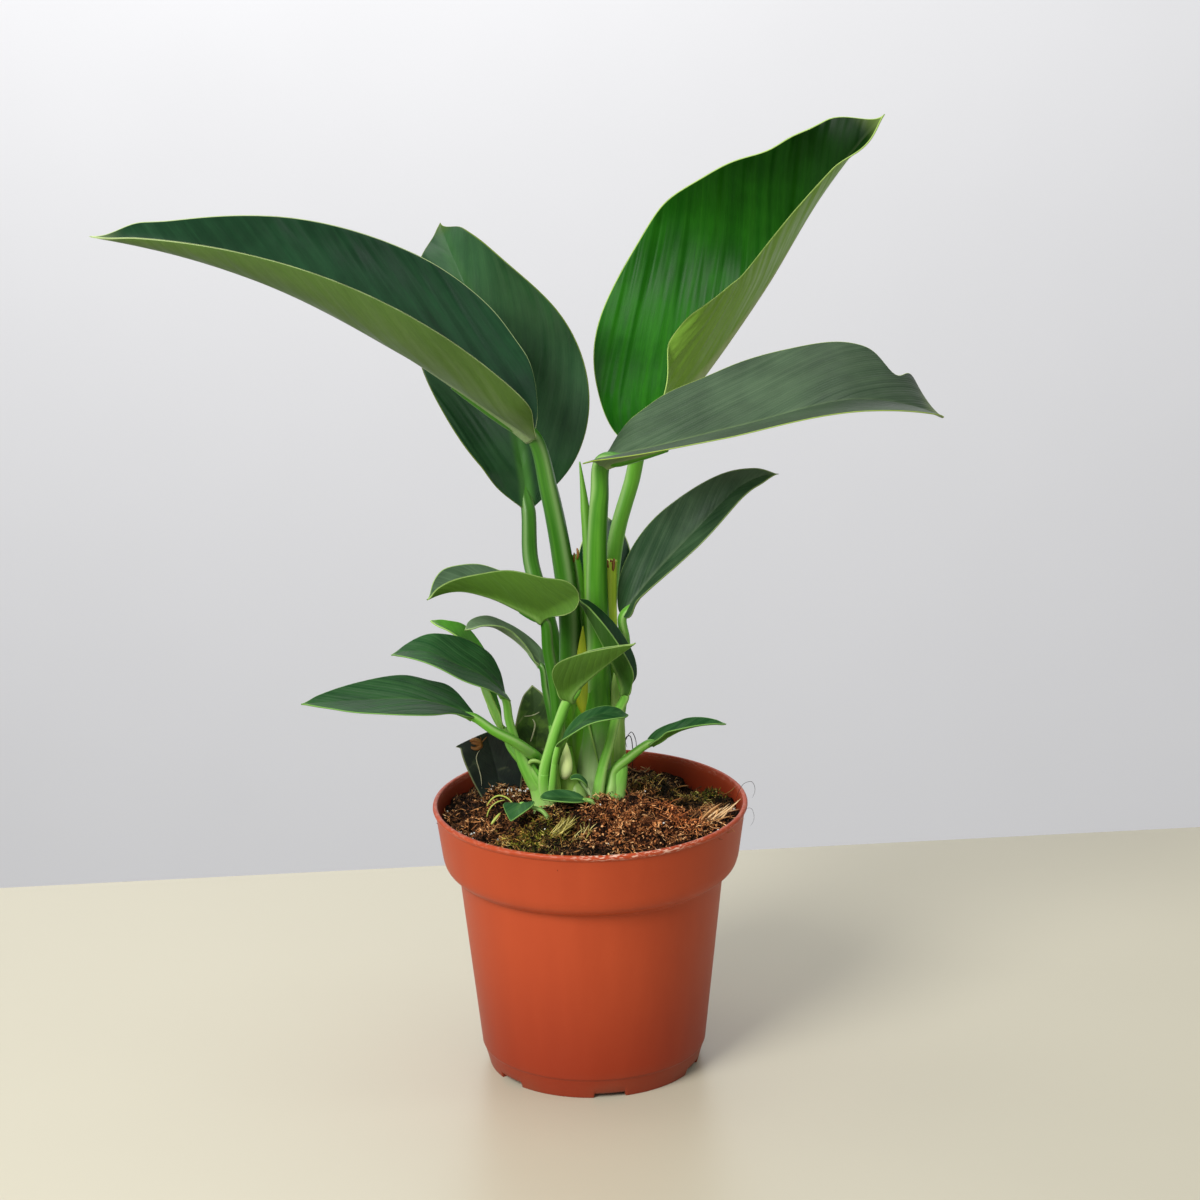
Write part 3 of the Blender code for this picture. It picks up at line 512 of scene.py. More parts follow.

# The copies named stalk light, stub and bud pale are painted lighter, as painted light, where they stand in
# shade; the stub's yellow-green and the bud's paleness are partly their own.
STALK_LOOKS = {
    "stalk": dict(name="stalk green", Stem=(88, 153, 40), Deep=(53, 117, 20)),
    "stalk deep": dict(name="stalk deep", Stem=(68, 128, 31), Deep=(42, 97, 17), Ridge=0.35),
    "stalk light": dict(name="stalk light", Stem=(120, 190, 62), Deep=(84, 156, 36)),
    "stalk dark": dict(name="stalk dark", Stem=(70, 128, 36), Deep=(44, 94, 22), Ridge=0.3),
    "sprout": dict(
        name="stalk of an offshoot", Stem=(132, 194, 80), Deep=(88, 156, 44), Pale=(180, 210, 132),
        Pale_From=0.085, Pale_To=0.105,
    ),
    "crown": dict(
        name="crown", bump=0.1, Stem=(104, 172, 38), Deep=(64, 130, 16), Pale=(172, 212, 100),
        Pale_From=0.09, Pale_To=0.12, Ridge=0.25, Streaks=0.55,
    ),
    "sheath": dict(
        name="sheath tip", bump=0.12, Stem=(156, 186, 104), Deep=(112, 160, 62), Pale=(200, 214, 160),
        Ridge=0.3, Pale_From=0.085, Pale_To=0.1,
    ),
    "golden": dict(
        name="golden sheath", bump=0.1, Stem=(170, 180, 40), Deep=(124, 150, 28), Pale=(180, 190, 90),
        Ridge=0.2,
    ),
    "stub": dict(name="stub", bump=0.1, Stem=(226, 250, 90), Deep=(196, 232, 66), Ridge=0.1),
    "spear": dict(name="spear green", bump=0.06, Stem=(118, 174, 64), Deep=(84, 146, 40), Ridge=0.2),
    "bud": dict(
        name="bud pale", bump=0.06, Stem=(238, 252, 176), Deep=(206, 236, 130), Pale=(244, 252, 196),
        Pale_From=0.09, Pale_To=0.116, Ridge=0.0,
    ),
}
STALKS = {}
for key, look in STALK_LOOKS.items():
    STALKS[key] = new_material(skin=STALK_SKIN, specular=0.25, **{"bump": 0.08, **look})
print("stalk finishes:", len(STALKS))

# %% [markdown]
# ## Curves
# A midrib, a stalk and a root hair are all smooth curves through a few points. Along a midrib a frame of
# three directions is carried: the way that the curve runs, the way that the blade's upper face looks, and the
# way across. The frame may roll on its way to the tip, which gives a blade its twist.

# %% Curves
MIDRIB_POINTS = 401
SMOOTHING = np.hanning(83)[1:-1]


def smooth_path(points, count):
    """Points along a smooth curve through the given ones: cubic steps whose slopes follow the neighbours."""
    p = np.array(points, float)
    if len(p) == 2:
        t = np.linspace(0, 1, count)[:, None]
        return p[0] * (1 - t) + p[1] * t
    knots = np.concatenate([[0], np.cumsum(np.sqrt(np.linalg.norm(np.diff(p, axis=0), axis=1)))])
    slopes = np.gradient(p, knots, axis=0, edge_order=2)
    s = np.linspace(0, knots[-1], count)
    i = np.clip(np.searchsorted(knots, s, side="right") - 1, 0, len(p) - 2)
    step = (knots[i + 1] - knots[i])[:, None]
    x = (s - knots[i])[:, None] / step
    start = p[i] * (2 * x**3 - 3 * x**2 + 1) + slopes[i] * step * (x**3 - 2 * x**2 + x)
    return start + p[i + 1] * (3 * x**2 - 2 * x**3) + slopes[i + 1] * step * (x**3 - x**2)


def between(pair, u):
    """A value that runs from the base's to the tip's; a single number stays the same."""
    first, last = pair if isinstance(pair, tuple) else (pair, pair)
    return first * (1 - u) + last * u


def at_share(u, arc, values):
    """Values along a path, read at the shares u of its length."""
    return np.stack([np.interp(u * arc[-1], arc, column) for column in values.T], 1)


def blade_frame(leaf, u):
    """Midrib points, tangents and upper-face normals at the shares u of the blade's length."""
    fine_path = smooth_path(leaf["midrib"], MIDRIB_POINTS)
    arc = length_so_far(fine_path)
    margin = len(SMOOTHING) // 2
    slope = np.pad(np.gradient(fine_path, axis=0), ((margin, margin), (0, 0)), mode="edge")
    slope = unit(np.stack([np.convolve(column, SMOOTHING, mode="valid") for column in slope.T], 1))
    along = unit(at_share(u, arc, slope))
    faces = np.array(leaf.get("faces", (0, 0, 1)), float)
    upper_side = unit(faces - (along @ faces)[:, None] * along)
    roll = np.radians(between(leaf.get("roll", 0), u))[:, None]
    normal = np.cos(roll) * upper_side + np.sin(roll) * np.cross(along, upper_side)
    return at_share(u, arc, fine_path), along, normal, arc[-1]


# %% [markdown]
# ## The blade's surface
# A leaf blade is a surface of two parameters: u runs along the midrib from base to tip, v across it from
# the left margin to the right. Each half of the blade leaves the midrib at an angle, the fold, and then bends
# on by another, the curl, so its section is an arc of a circle. The half width grows like a power of u and
# falls like a power of 1 - u, which gives the long oval with a pointed tip.

# %% Blade surface
EASE = 6.0
BLADE_END = 0.4
LOBE_RISE = 0.03


def half_widths(leaf, u):
    """Half width along the blade: a power of u times a power of 1 - u, drawn to a point at the tip."""
    top = leaf.get("widest", 0.4)
    rise_power = leaf.get("round", 0.55)
    fall_power = rise_power * (1 - top) / top
    half = leaf["half_width"] * (u / top) ** rise_power * ((1 - u) / (1 - top)) ** fall_power
    drawn = np.clip((1 - u) / leaf.get("cusp", 0.1), 0, 1)
    return (half + BLADE_END) * (drawn * (2 - drawn)) ** leaf.get("cusp_power", 0.8)


def blade_points(leaf, u, v):
    """Middle surface of a blade on the grid of u and v, with the distances from midrib and margin in mm.

    On each side a point lies out from the midrib by the arc's sine part and up by its cosine part. Notches
    scale one half's width by a bell curve, waves lift a margin by a sine, and the lobe pulls the base back.
    """
    at, along, normal, length = blade_frame(leaf, u)
    side = np.cross(along, normal)
    V, U = np.meshgrid(v, u)
    reach, left = np.abs(V), V < 0
    opened = eased(np.clip(EASE * np.minimum(U, 1 - U) + leaf.get("folded", 0.15), 0, 1))
    fold = np.radians(np.where(left, *(between(half, U) for half in leaf["fold"]))) * opened
    curl = np.radians(np.where(left, *(between(half, U) for half in leaf["curl"]))) * opened + 1e-3
    width = half_widths(leaf, u)[:, None] * np.where(left, *leaf.get("shares", (1.0, 1.0)))
    for which, middle_at, spread, amount in leaf.get("notches", ()):
        width = width * (1 + amount * (np.sign(V) == which) * np.exp(-(((U - middle_at) / spread) ** 2)))
    radius = width / curl
    out = radius * (np.sin(fold + curl * reach) - np.sin(fold))
    lift = radius * (np.cos(fold) - np.cos(fold + curl * reach))
    for which, amount, cycles, phase in leaf.get("waves", ()):
        wave = amount * np.sin(FULL_TURN * (cycles * U + phase)) * np.sqrt(4 * U * (1 - U))
        lift = lift + wave * reach**2.5 * (np.sign(V) == which)
    lobe = leaf.get("lobe", 0) * np.exp(-U / leaf.get("lobe_reach", 0.1)) * reach**1.2
    lobe = lobe * (1 - np.exp(-U / LOBE_RISE))
    sideways = (np.sign(V) * out)[..., None] * side[:, None, :]
    raised = lift[..., None] * normal[:, None, :] - lobe[..., None] * along[:, None, :]
    return at[:, None, :] + sideways + raised, width * reach, width * (1 - reach), U, V, length


# %% [markdown]
# ## From a surface to a leaf
# A real blade is about 0.4 mm thick, with a rounded margin. Below, the midrib stands out as a rib that grows
# out of the stalk; above, it is a shallow channel. So the shell takes the middle surface and moves it up and
# down along its own normal: by half the thickness, less a channel above, plus a rib below. The rib's and
# the channel's depths and widths are shares of the stalk's radius, and both fade before the margin.

# %% Leaf shell
BLADE_THICKNESS = 0.5
MARGIN_POWER = 70
RIB_ROOT, RIB_FADE, RIB_ALL_ALONG = 1.25, 0.22, 0.16
RIB_WIDTH, RIB_WIDENING, RIB_NARROWS = 0.35, 0.75, 0.4
GROOVE_DEPTH, GROOVE_WIDTH, GROOVE_FADE = 0.16, 0.5, 0.6
MARGIN_LEFT_PLAIN = 1.5
VEIN_FACE_GAP = 40


def round_both_faces(above, below):
    """Values of the upper face from left to right, then of the lower face back, without the two margins."""
    return np.concatenate([above, below[:, -2:0:-1]], axis=1)


def blade_shell(leaf, look=0):
    """The blade as rings: across the upper face from left to right, and back across the lower face."""
    rows, columns = leaf.get("fine", (110, 22))
    s = np.linspace(0, 1, rows)
    u = 0.5 * s + 0.25 * (1 - np.cos(math.pi * s))
    half = eased(np.linspace(0, 1, columns + 1))
    v = np.concatenate([-half[::-1], half[1:]])
    middle, from_rib, from_edge, U, V, length = blade_points(leaf, u, v)
    normal = unit(np.cross(np.gradient(middle, axis=1), np.gradient(middle, axis=0)))
    thick = 0.5 * BLADE_THICKNESS * np.sqrt(np.maximum(1 - np.abs(V) ** MARGIN_POWER, 0))
    stalk_radius = leaf["radii"][-1]
    depth = RIB_ROOT * stalk_radius * np.exp(-U / RIB_FADE) + RIB_ALL_ALONG * stalk_radius * (1 - U)
    spread = stalk_radius * (RIB_WIDTH + RIB_WIDENING * np.exp(-U / RIB_NARROWS))
    inside = np.clip(from_edge / MARGIN_LEFT_PLAIN, 0, 1)
    rib = depth * np.exp(-((from_rib / spread) ** 2)) * inside
    groove = GROOVE_DEPTH * stalk_radius * np.exp(-((from_rib / (GROOVE_WIDTH * stalk_radius)) ** 2))
    groove = groove * (1 - GROOVE_FADE * U) * inside
    upper_side = middle + (thick - groove)[..., None] * normal
    rings = round_both_faces(upper_side, middle - (thick + rib)[..., None] * normal)

    slope, bend = leaf.get("veins", (1.2, 0.5))
    sweep = U * length - slope * from_rib - bend * from_rib**2 / leaf["half_width"]
    face = round_both_faces(np.ones_like(U), np.zeros_like(U))
    kept = dict(rib=from_rib, edge=from_edge, share=U)
    fields = {name: round_both_faces(values, values) for name, values in kept.items()}
    across = from_rib * np.sign(V)
    along_veins = [round_both_faces(sweep, sweep), round_both_faces(across, across), VEIN_FACE_GAP * face]
    return shell(rings, dict(fields, face=face, grain=np.stack(along_veins, -1)), look)


# %% [markdown]
# ## Stalks
# A stalk is a profile carried along a path: nearly round, with a shallow channel on the side that its leaf's
# upper face looks to, and a soft ridge on each side of that channel. One path runs from the soil through the
# sheath to the blade, so that the part in the crown and the part in the leaf meet without a step.

# %% Stalk shell
CHANNEL = 0.16
CHANNEL_HALF_ANGLE, RIDGE_AT, RIDGE_WIDTH, RIDGE_HEIGHT = 0.55, 1.0, 0.3, 0.3
PATH_STEPS, END_SHARES, NEAR_BASE, FREE_FACING = 24, (0.75, 0.4), 0.04, (0.6, -0.8, 0)


def tube_shell(path, radii, facing, sides=28, channel=0.0, squash=1.0, look=0, start_mm=0.0):
    """Rings along the path; the radius dips in a bell curve at the channel and swells beside it."""
    along = unit(np.gradient(path, axis=0))
    facing = np.array(facing, float)
    upper_side = unit(facing - (along @ facing)[:, None] * along)
    side = np.cross(along, upper_side)
    angle = np.linspace(0, FULL_TURN, sides, endpoint=False)
    from_top = np.minimum(angle, FULL_TURN - angle)
    dip = np.exp(-((from_top / CHANNEL_HALF_ANGLE) ** 2))
    ridge = np.exp(-(((from_top - RIDGE_AT) / RIDGE_WIDTH) ** 2))
    profile = (1 - channel * dip + RIDGE_HEIGHT * channel * ridge)[None, :, None]
    up = np.cos(angle)[None, :, None] * upper_side[:, None, :] * squash
    outline = profile * (up + np.sin(angle)[None, :, None] * side[:, None, :])
    rings = path[:, None, :] + radii[:, None, None] * outline
    length = np.broadcast_to((start_mm + length_so_far(path))[:, None], rings.shape[:2])
    coordinates = np.stack([radii[:, None] * np.cos(angle), radii[:, None] * np.sin(angle), length], -1)
    ridges = np.broadcast_to(ridge * (channel > 0), rings.shape[:2])
    return shell(rings, dict(grain=coordinates, ridge=ridges), look)


def stalk_line(piece, ends=()):
    """The path from the soil to the blade with its radius, and the length at which the leaf's part starts."""
    roots, root_radii = piece["root"][1:] if "root" in piece else ([], ())
    stalk = list(piece["petiole"])
    points = list(roots) + stalk + [tuple(end) for end in ends]
    own = np.interp(np.linspace(0, 1, len(stalk)), np.linspace(0, 1, len(piece["radii"])), piece["radii"])
    tail = [piece["radii"][-1] * share for share in END_SHARES][: len(ends)]
    path = smooth_path(points, PATH_STEPS * len(points))
    arc = length_so_far(path)
    nearest = [int(np.argmin(np.linalg.norm(path - np.array(point), axis=1))) for point in points]
    radius = np.interp(arc, arc[nearest], list(root_radii[: len(roots)]) + own.tolist() + tail)
    return path, radius, arc, arc[nearest[len(roots)]]


def faces_way(piece):
    """The side that a stalk's channel looks to: its blade's upper side, or one fixed way without a blade."""
    return blade_frame(piece, np.array([NEAR_BASE]))[2][0] if "midrib" in piece else FREE_FACING


# %% [markdown]
# ## The leaves
# Each leaf is described by its midrib, the way its upper face looks, its roll, its half width and its fold
# and curl, left half first, where a pair runs from base to tip. Widest is where on its length the blade is
# widest, and round is the power that shapes its base. Folded says how far the fold stays open at both ends,
# and the cusp draws the tip out. Notches widen or narrow one half around a share of the length, shares do so
# along the whole half, and the lobe lets the base reach back past the stalk. The veins have a slope and a
# bend. The stalk runs from its sheath to the blade, and the root gives the sheath's own points below that.

# %% Stem leaves
STEM_LEAVES = {
    "leaf_long_left": dict(
        midrib=[(-16, 1, 217.5), (-29, -1, 227.5), (-60, -7, 250), (-102.5, -13, 274), (-154.5, -15, 289)],
        roll=(-14, -4), half_width=40, widest=0.30, round=0.47,
        fold=((0, 12), (8, 14)), curl=((70, 45), (38, 48)),
        petiole=[(-5.5, 5, 129), (-5.5, 5, 153.5), (-7.5, 4, 174.5), (-11.5, 3, 198.5), (-16.5, 1, 217.5)],
        radii=(4.2, 3.8, 3.6, 3.2, 2.6),
        root=("main", [(-2, 3, 91), (-3.5, 4, 105), (-5, 5, 118.5)], (5.5, 5.2, 4.6, 4.2)),
        skin="dark", stalk="stalk deep", veins=(0.9, 0.5), folded=0.5,
        notches=((1, 0.1, 0.05, -0.04), (1, 0.94, 0.05, 0.3), (-1, 0.2, 0.14, -0.12), (-1, 0.03, 0.04, -0.2)),
    ),
    "leaf_back": dict(
        midrib=[(-19, 33, 183.5), (-22, 41, 204.5), (-29.4, 56, 233), (-41, 68, 257), (-47.6, 85, 270.6)],
        faces=(0.3, -1, 0), roll=(12, -27), half_width=28, widest=0.42, round=0.72,
        fold=((10, 8), (6, 20)), curl=((25, 20), (15, 40)), lobe=-3,
        petiole=[(-5.5, 15, 122.5), (-10, 18, 135.5), (-14, 23, 151.5), (-18.5, 29, 167), (-19, 33, 183)],
        radii=(2.7, 2.7, 2.7, 2.6, 2.4),
        root=("main", [(-2, 9, 89), (-4, 11, 102.5), (-5, 13, 114)], (4.2, 3.6, 3.0, 2.6)),
        skin="back", stalk="stalk dark", veins=(1.5, 0.6), cusp=0.03, cusp_power=0.4,
        notches=((1, 0.99, 0.03, -0.7), (-1, 0.97, 0.05, -0.25)),
    ),
    "leaf_tall_right": dict(
        midrib=[(20, 22, 213), (38, 52, 222), (61, 66, 249.5), (81, 60, 284), (101, 54, 311)],
        faces=(-0.5, -0.8, 0.4), roll=(-41, -12), half_width=45, widest=0.42, round=0.8, shares=(1.0, 0.9),
        fold=(35, 42), curl=((20, 18), (5, 22)), lobe=-4, lobe_reach=0.15,
        petiole=[(6, 11, 144.5), (7.5, 13, 161), (10.5, 17, 180.5), (15.5, 21, 196.5), (19.5, 22, 211.5)],
        radii=(3.2, 2.9, 2.8, 2.7, 2.6),
        root=("main", [(1.5, 8, 89), (3.5, 9, 110), (5, 10, 127.5)], (5.2, 4.6, 4.0, 3.5)),
        skin="bright", stalk="stalk light", slot="young_leaf", veins=(1.6, 0.4),
        notches=(
            (-1, 0.22, 0.1, 0.05), (-1, 0.55, 0.08, 0.05), (-1, 0.78, 0.05, -0.1), (-1, 0.94, 0.045, 0.32),
            (1, 0.45, 0.15, -0.08),
        ),
    ),
    "leaf_low_right": dict(
        midrib=[(6, -1, 210.5), (21, -9, 215.5), (50, -17, 224.5), (87.5, -21, 233.5), (114.5, -15, 225.5)],
        roll=(3, 2), half_width=30, widest=0.50, round=0.43,
        fold=((26, 23), (9, 8)), curl=((10, 4), (3, 0)), lobe=7, folded=0.4,
        petiole=[(3, 1, 130.5), (3.5, 1, 144.5), (3.5, 1, 154.5), (3.5, 0, 175.5), (4.5, -1, 196),
                 (6, -1, 209)],
        radii=(4.2, 4.1, 3.8, 3.4, 3.2, 3.0),
        root=("main", [(0.3, 1.6, 91.5), (1.5, 1, 106), (2.5, 1, 120)], (5.5, 5.2, 4.8, 4.2)),
        skin="satin", stalk="stalk", veins=(2.6, 0.8),
        notches=(
            (-1, 0.08, 0.07, -0.12), (-1, 0.3, 0.12, -0.07), (-1, 0.6, 0.12, -0.03), (-1, 0.87, 0.04, -0.36),
            (-1, 0.955, 0.03, 0.35),
        ),
    ),
    "leaf_narrow_right": dict(
        midrib=[(11.5, 1, 156), (21, 1, 168.5), (35, -1, 184.5), (51, -2, 200.5), (62.5, -7, 205.5)],
        faces=(-0.5, -0.8, 0.5), roll=(-20, 9), half_width=12.5, widest=0.37, round=0.63,
        fold=((13, 22), (22, 18)), curl=((8, 23), (33, 27)), lobe=1.5,
        petiole=[(10.5, 4, 121.5), (12, 3, 136.5), (12.5, 2, 147), (11.7, 1, 155.5)],
        radii=(1.8, 1.7, 1.6, 1.5),
        root=("main", [(2.5, 5, 90), (6, 5, 104.5), (9, 5, 115)], (4.6, 3.6, 2.6, 1.8)),
        skin="slate", stalk="sprout", fine=(80, 16), veins=(2.2, 0.8),
    ),
    "leaf_small_behind": dict(
        midrib=[(5.5, 24, 153.5), (6, 25, 162.5), (6.5, 28, 172.5), (7.5, 32, 181)],
        faces=(0, -1, 0.3), half_width=9, widest=0.45, round=0.6,
        fold=(10, 10), curl=(10, 10),
        petiole=[(4, 19, 121), (5, 22, 137.5), (5.5, 24, 153)], radii=(1.8, 1.6, 1.4),
        root=("main", [(0, 9, 89), (2.5, 15, 106)], (4.0, 2.8, 1.8)),
        skin="dark", stalk="stalk dark", fine=(60, 12),
    ),
}
print("leaves so far:", len(STEM_LEAVES))

# %% [markdown]
# ## The offshoots' leaves
# The two offshoots in front carry smaller leaves. Most of them are soft and pale, and some are still folded
# or curled, because they have just opened.

# %% Offshoot leaves
OFFSHOOT_LEAVES = {
    "leaf_arched_front": dict(
        midrib=[(-14, -13, 160), (-22, -14, 164), (-32, -15, 168.5), (-42, -17, 171), (-51.5, -20, 169)],
        half_width=16, widest=0.25, round=0.34,
        fold=(50, (30, 45)), curl=(20, 25), lobe=13, lobe_reach=0.2,
        petiole=[(-10.5, -6.5, 121), (-11, -9, 135.5), (-12.8, -11, 148.5), (-14, -13, 159.5)],
        radii=(2.2, 2.1, 2.0, 1.8),
        root=("left", [(-13.5, -6.5, 96), (-13.5, -5.5, 107)], (2.6, 2.4, 2.2)),
        skin="young", stalk="stalk deep", slot="young_leaf", fine=(80, 18), veins=(1.4, 0.5), folded=0.5,
        notches=((1, 0.4, 0.2, -0.32), (1, 0.86, 0.1, 0.35), (-1, 0.13, 0.1, 0.22), (-1, 0.72, 0.18, -0.25)),
    ),
    "leaf_left_upper": dict(
        midrib=[(-27, -15, 134.5), (-34, -19, 142.5), (-42, -22, 147.5), (-52, -23, 152.5),
                (-63.5, -20, 150.5)],
        roll=(-19, -5), half_width=13.5, widest=0.38, round=0.57,
        fold=((2, 3), (11, 5)), curl=((6, 8), (21, 12)), lobe=1.5, folded=0.5,
        notches=((1, 0.15, 0.08, 0.12), (1, 0.68, 0.1, -0.06)),
        petiole=[(-23.8, -10.3, 116), (-26, -12.3, 125), (-27, -14.5, 133)], radii=(1.6, 1.5, 1.4),
        root=("left", [(-14.5, -8.5, 95.5), (-18.3, -9.3, 102), (-21.5, -10, 109)], (2.8, 2.6, 2.2, 1.6)),
        skin="shoot", stalk="sprout", fine=(80, 16), veins=(3.2, 0.6),
    ),
    "leaf_left_lower": dict(
        midrib=[(-37, -21, 129.5), (-46, -23, 134), (-57, -26, 137.5), (-74, -28, 138), (-92.5, -31, 138)],
        roll=(-9, -4), half_width=15.5, widest=0.38, round=0.58, shares=(1.0, 0.85),
        fold=((3, 4), (3, 3)), curl=((3, 3), (13, 14)), lobe=-2, folded=0.5,
        notches=((1, 0.13, 0.08, 0.2), (-1, 0.12, 0.16, -0.5), (-1, 0.75, 0.1, 0.1)),
        petiole=[(-20, -12.6, 114.3), (-24.3, -16.5, 119), (-31, -19.5, 124), (-37, -21, 129)],
        radii=(2.0, 1.8, 1.6, 1.5),
        root=("left", [(-13.5, -7, 96), (-14.5, -4.5, 104.5), (-17.8, -7.5, 110.5)], (2.4, 2.3, 2.2, 2.0)),
        skin="shoot", stalk="stalk light", fine=(80, 16), veins=(2.2, 0.9),
    ),
    "leaf_curled": dict(
        midrib=[(-15, -3, 140.5), (-20, 0, 145.5), (-26, 0, 150.5), (-32, -3, 154.5), (-40, -7, 154.5)],
        faces=(0.4, 0.2, 1), roll=(-10, 0), half_width=6, widest=0.45, round=0.48,
        fold=((13, 14), (17, 14)), curl=((7, 10), (15, 10)), lobe=-1,
        petiole=[(-12, -3, 120), (-14, -3, 132.5), (-15, -3, 140)], radii=(1.4, 1.3, 1.2),
        root=("left", [(-12.5, -6.5, 96), (-11.5, -4.5, 109)], (2.0, 1.7, 1.4)),
        skin="pale", stalk="stalk deep", fine=(64, 12),
    ),
    "leaf_young_twisted": dict(
        midrib=[(-28, -6, 120), (-34, -4, 131.5), (-38, 0.5, 144), (-43, -1, 151), (-51.5, -1, 156)],
        faces=(0.6, 0.2, 0.6), roll=(-4, -19), half_width=6.5, widest=0.51, round=0.50,
        fold=((17, 11), (19, 19)), curl=((16, 4), (18, 18)),
        notches=((-1, 0.3, 0.1, 0.2), (1, 0.9, 0.08, -0.3)),
        petiole=[(-26, -7, 114), (-27, -6.5, 117), (-28, -6, 119.5)], radii=(1.4, 1.3, 1.2),
        root=("left", [(-14.5, -8.5, 96), (-20, -10, 107), (-24, -8, 111.5)], (2.0, 1.8, 1.6, 1.4)),
        skin="fresh", stalk="sprout", slot="young_leaf", fine=(70, 12),
    ),
    "leaf_crossing": dict(
        midrib=[(12.5, -9, 132), (11, -10, 137.5), (7.5, -10.5, 145), (3, -11, 154.5), (-3, -12, 166.5)],
        faces=(0.8, 0, 0.6), roll=(-8, -4), half_width=9, widest=0.4, round=0.5,
        fold=((45, 36), (38, 30)), curl=((8, 0), (13, 0)),
        petiole=[(4.6, -8, 107), (6.8, -8, 114.5), (9.8, -8, 126), (12.2, -9, 131.6)],
        radii=(1.8, 1.7, 1.6, 1.5),
        root=("right", [(2.4, -8, 93), (3.2, -8.3, 100)], (2.4, 2.1, 1.8)),
        skin="shaded", stalk="sprout", fine=(70, 14), folded=0.4, notches=((-1, 0.08, 0.1, -0.42),),
    ),
    "leaf_facing_front": dict(
        midrib=[(-6.5, -15, 133), (-3.5, -18, 138), (1.5, -21, 143), (8, -24, 149), (15.5, -27, 155.5)],
        faces=(-0.6, 0, 0.8), roll=(-3, -4), half_width=13, widest=0.27, round=0.46, shares=(0.7, 1.0),
        fold=(40, 50), curl=(20, 22), lobe=1,
        petiole=[(-15.1, -11.4, 106), (-12.7, -12.2, 115.5), (-9.6, -13.2, 125), (-6.6, -15, 132.7)],
        radii=(1.9, 1.9, 1.9, 1.8),
        root=("left", [(-14, -10, 95)], (2.2, 2.0)),
        skin="young", stalk="sprout", slot="young_leaf", fine=(70, 16), folded=0.4,
        notches=((1, 0.05, 0.17, -0.5), (-1, 0.05, 0.08, -0.2)),
    ),
    "leaf_tiny_front": dict(
        midrib=[(-10, -15, 117), (-6, -18, 122.5), (-1, -20, 127), (6, -22, 130), (13, -20, 128.5)],
        roll=(14, 9), half_width=4.5, widest=0.45, round=0.51, shares=(0.8, 1.2),
        fold=(15, 0), curl=(20, 5),
        petiole=[(-11.5, -13.5, 110), (-11, -14.2, 113), (-10, -15, 116.7)], radii=(1.1, 1.1, 1.0),
        root=("left", [(-12.5, -10.5, 95), (-12.3, -12.3, 102)], (1.5, 1.3, 1.1)),
        skin="shoot", stalk="sprout", fine=(60, 10),
    ),
    "leaf_sprig_right": dict(
        midrib=[(20, -7, 114.5), (26, -8, 117.5), (31, -11, 120.5), (38, -13, 122.5), (45, -13, 122.5)],
        roll=(10, 1), half_width=4.5, widest=0.36, round=0.51,
        fold=((16, 14), (11, 13)), curl=(20, (13, 17)), lobe=3,
        petiole=[(8, -5.5, 104), (13, -6, 109), (19.7, -7, 114.2)], radii=(1.8, 1.6, 1.4),
        root=("right", [(6.4, -7, 92), (7, -6.2, 99)], (2.8, 2.6, 2.0)),
        skin="shoot", stalk="sprout", fine=(60, 10),
    ),
}
print("leaves so far:", len(STEM_LEAVES) + len(OFFSHOOT_LEAVES))

# %% [markdown]
# ## The smallest leaves
# At the foot two tiny leaves and a seedling's leaf lie close over the soil.

# %% Baby leaves
BABY_LEAVES = {
    "leaf_baby_oval": dict(
        midrib=[(-1.8, -17.5, 98.6), (-6, -18.5, 99.5), (-11, -19, 100.1), (-16.5, -19, 100.3)],
        roll=(-22, -14), half_width=3.1, widest=0.5, round=0.5,
        fold=(10, 10), curl=(10, 10),
        petiole=[(2.5, -15.5, 90), (1.6, -16, 95.5), (0.4, -16.8, 97.8), (-1.6, -17.4, 98.5)],
        radii=(0.8, 0.8, 0.8),
        skin="shoot", stalk="sprout", fine=(40, 8),
    ),
    "leaf_baby_hook": dict(
        midrib=[(-0.9, -12.8, 101.4), (-2.2, -12.9, 103.4), (-4, -13, 104.7), (-6.4, -13, 104.3)],
        roll=(-10, -10), half_width=1.5, widest=0.5, round=0.5,
        fold=(10, 10), curl=(10, 10),
        petiole=[(1.0, -12, 90), (0.6, -12.3, 96), (0.1, -12.5, 98.8), (-0.8, -12.7, 101.2)],
        radii=(0.5, 0.5, 0.5),
        skin="shoot", stalk="stalk dark", fine=(40, 8),
    ),
    "seedling_leaf": dict(
        midrib=[(-22.8, -19, 98.4), (-23.6, -21.5, 97.6), (-24.8, -24, 96.4), (-26, -26.5, 94.9)],
        half_width=5.2, widest=0.2, round=0.3, roll=(8, 8),
        fold=(6, 6), curl=(4, 4), lobe=1.2,
        petiole=[(-13.5, -20.5, 90), (-15.2, -20.5, 95.6), (-19.8, -20, 97.6), (-22.6, -19.1, 98.2)],
        radii=(0.7, 0.7, 0.7),
        skin="shoot", stalk="sprout", fine=(48, 10),
    ),
}
LEAVES = {**STEM_LEAVES, **OFFSHOOT_LEAVES, **BABY_LEAVES}
print("leaves:", len(LEAVES))

# %% [markdown]
# ## Joining blade and stalk
# The stalk ends under the midrib, a little inside the blade, so that the rib seems to grow out of it. Its
# lower end starts slightly inside the sheath and is a touch thinner there, so that it slips into it.

# %% Make the leaves
SINK = 1.6
NECK = 0.94
RIB_ENDS = np.array([0.06, 0.2])
RIB_DEPTHS = np.array([[0.6], [0.5]])


def own_part(piece, ends=()):
    """The part of a stalk's path that belongs to its leaf, with its radii and the length where it starts."""
    path, radius, arc, start = stalk_line(piece, ends)
    own = arc > start - SINK
    return path[own], radius[own], arc[own], start


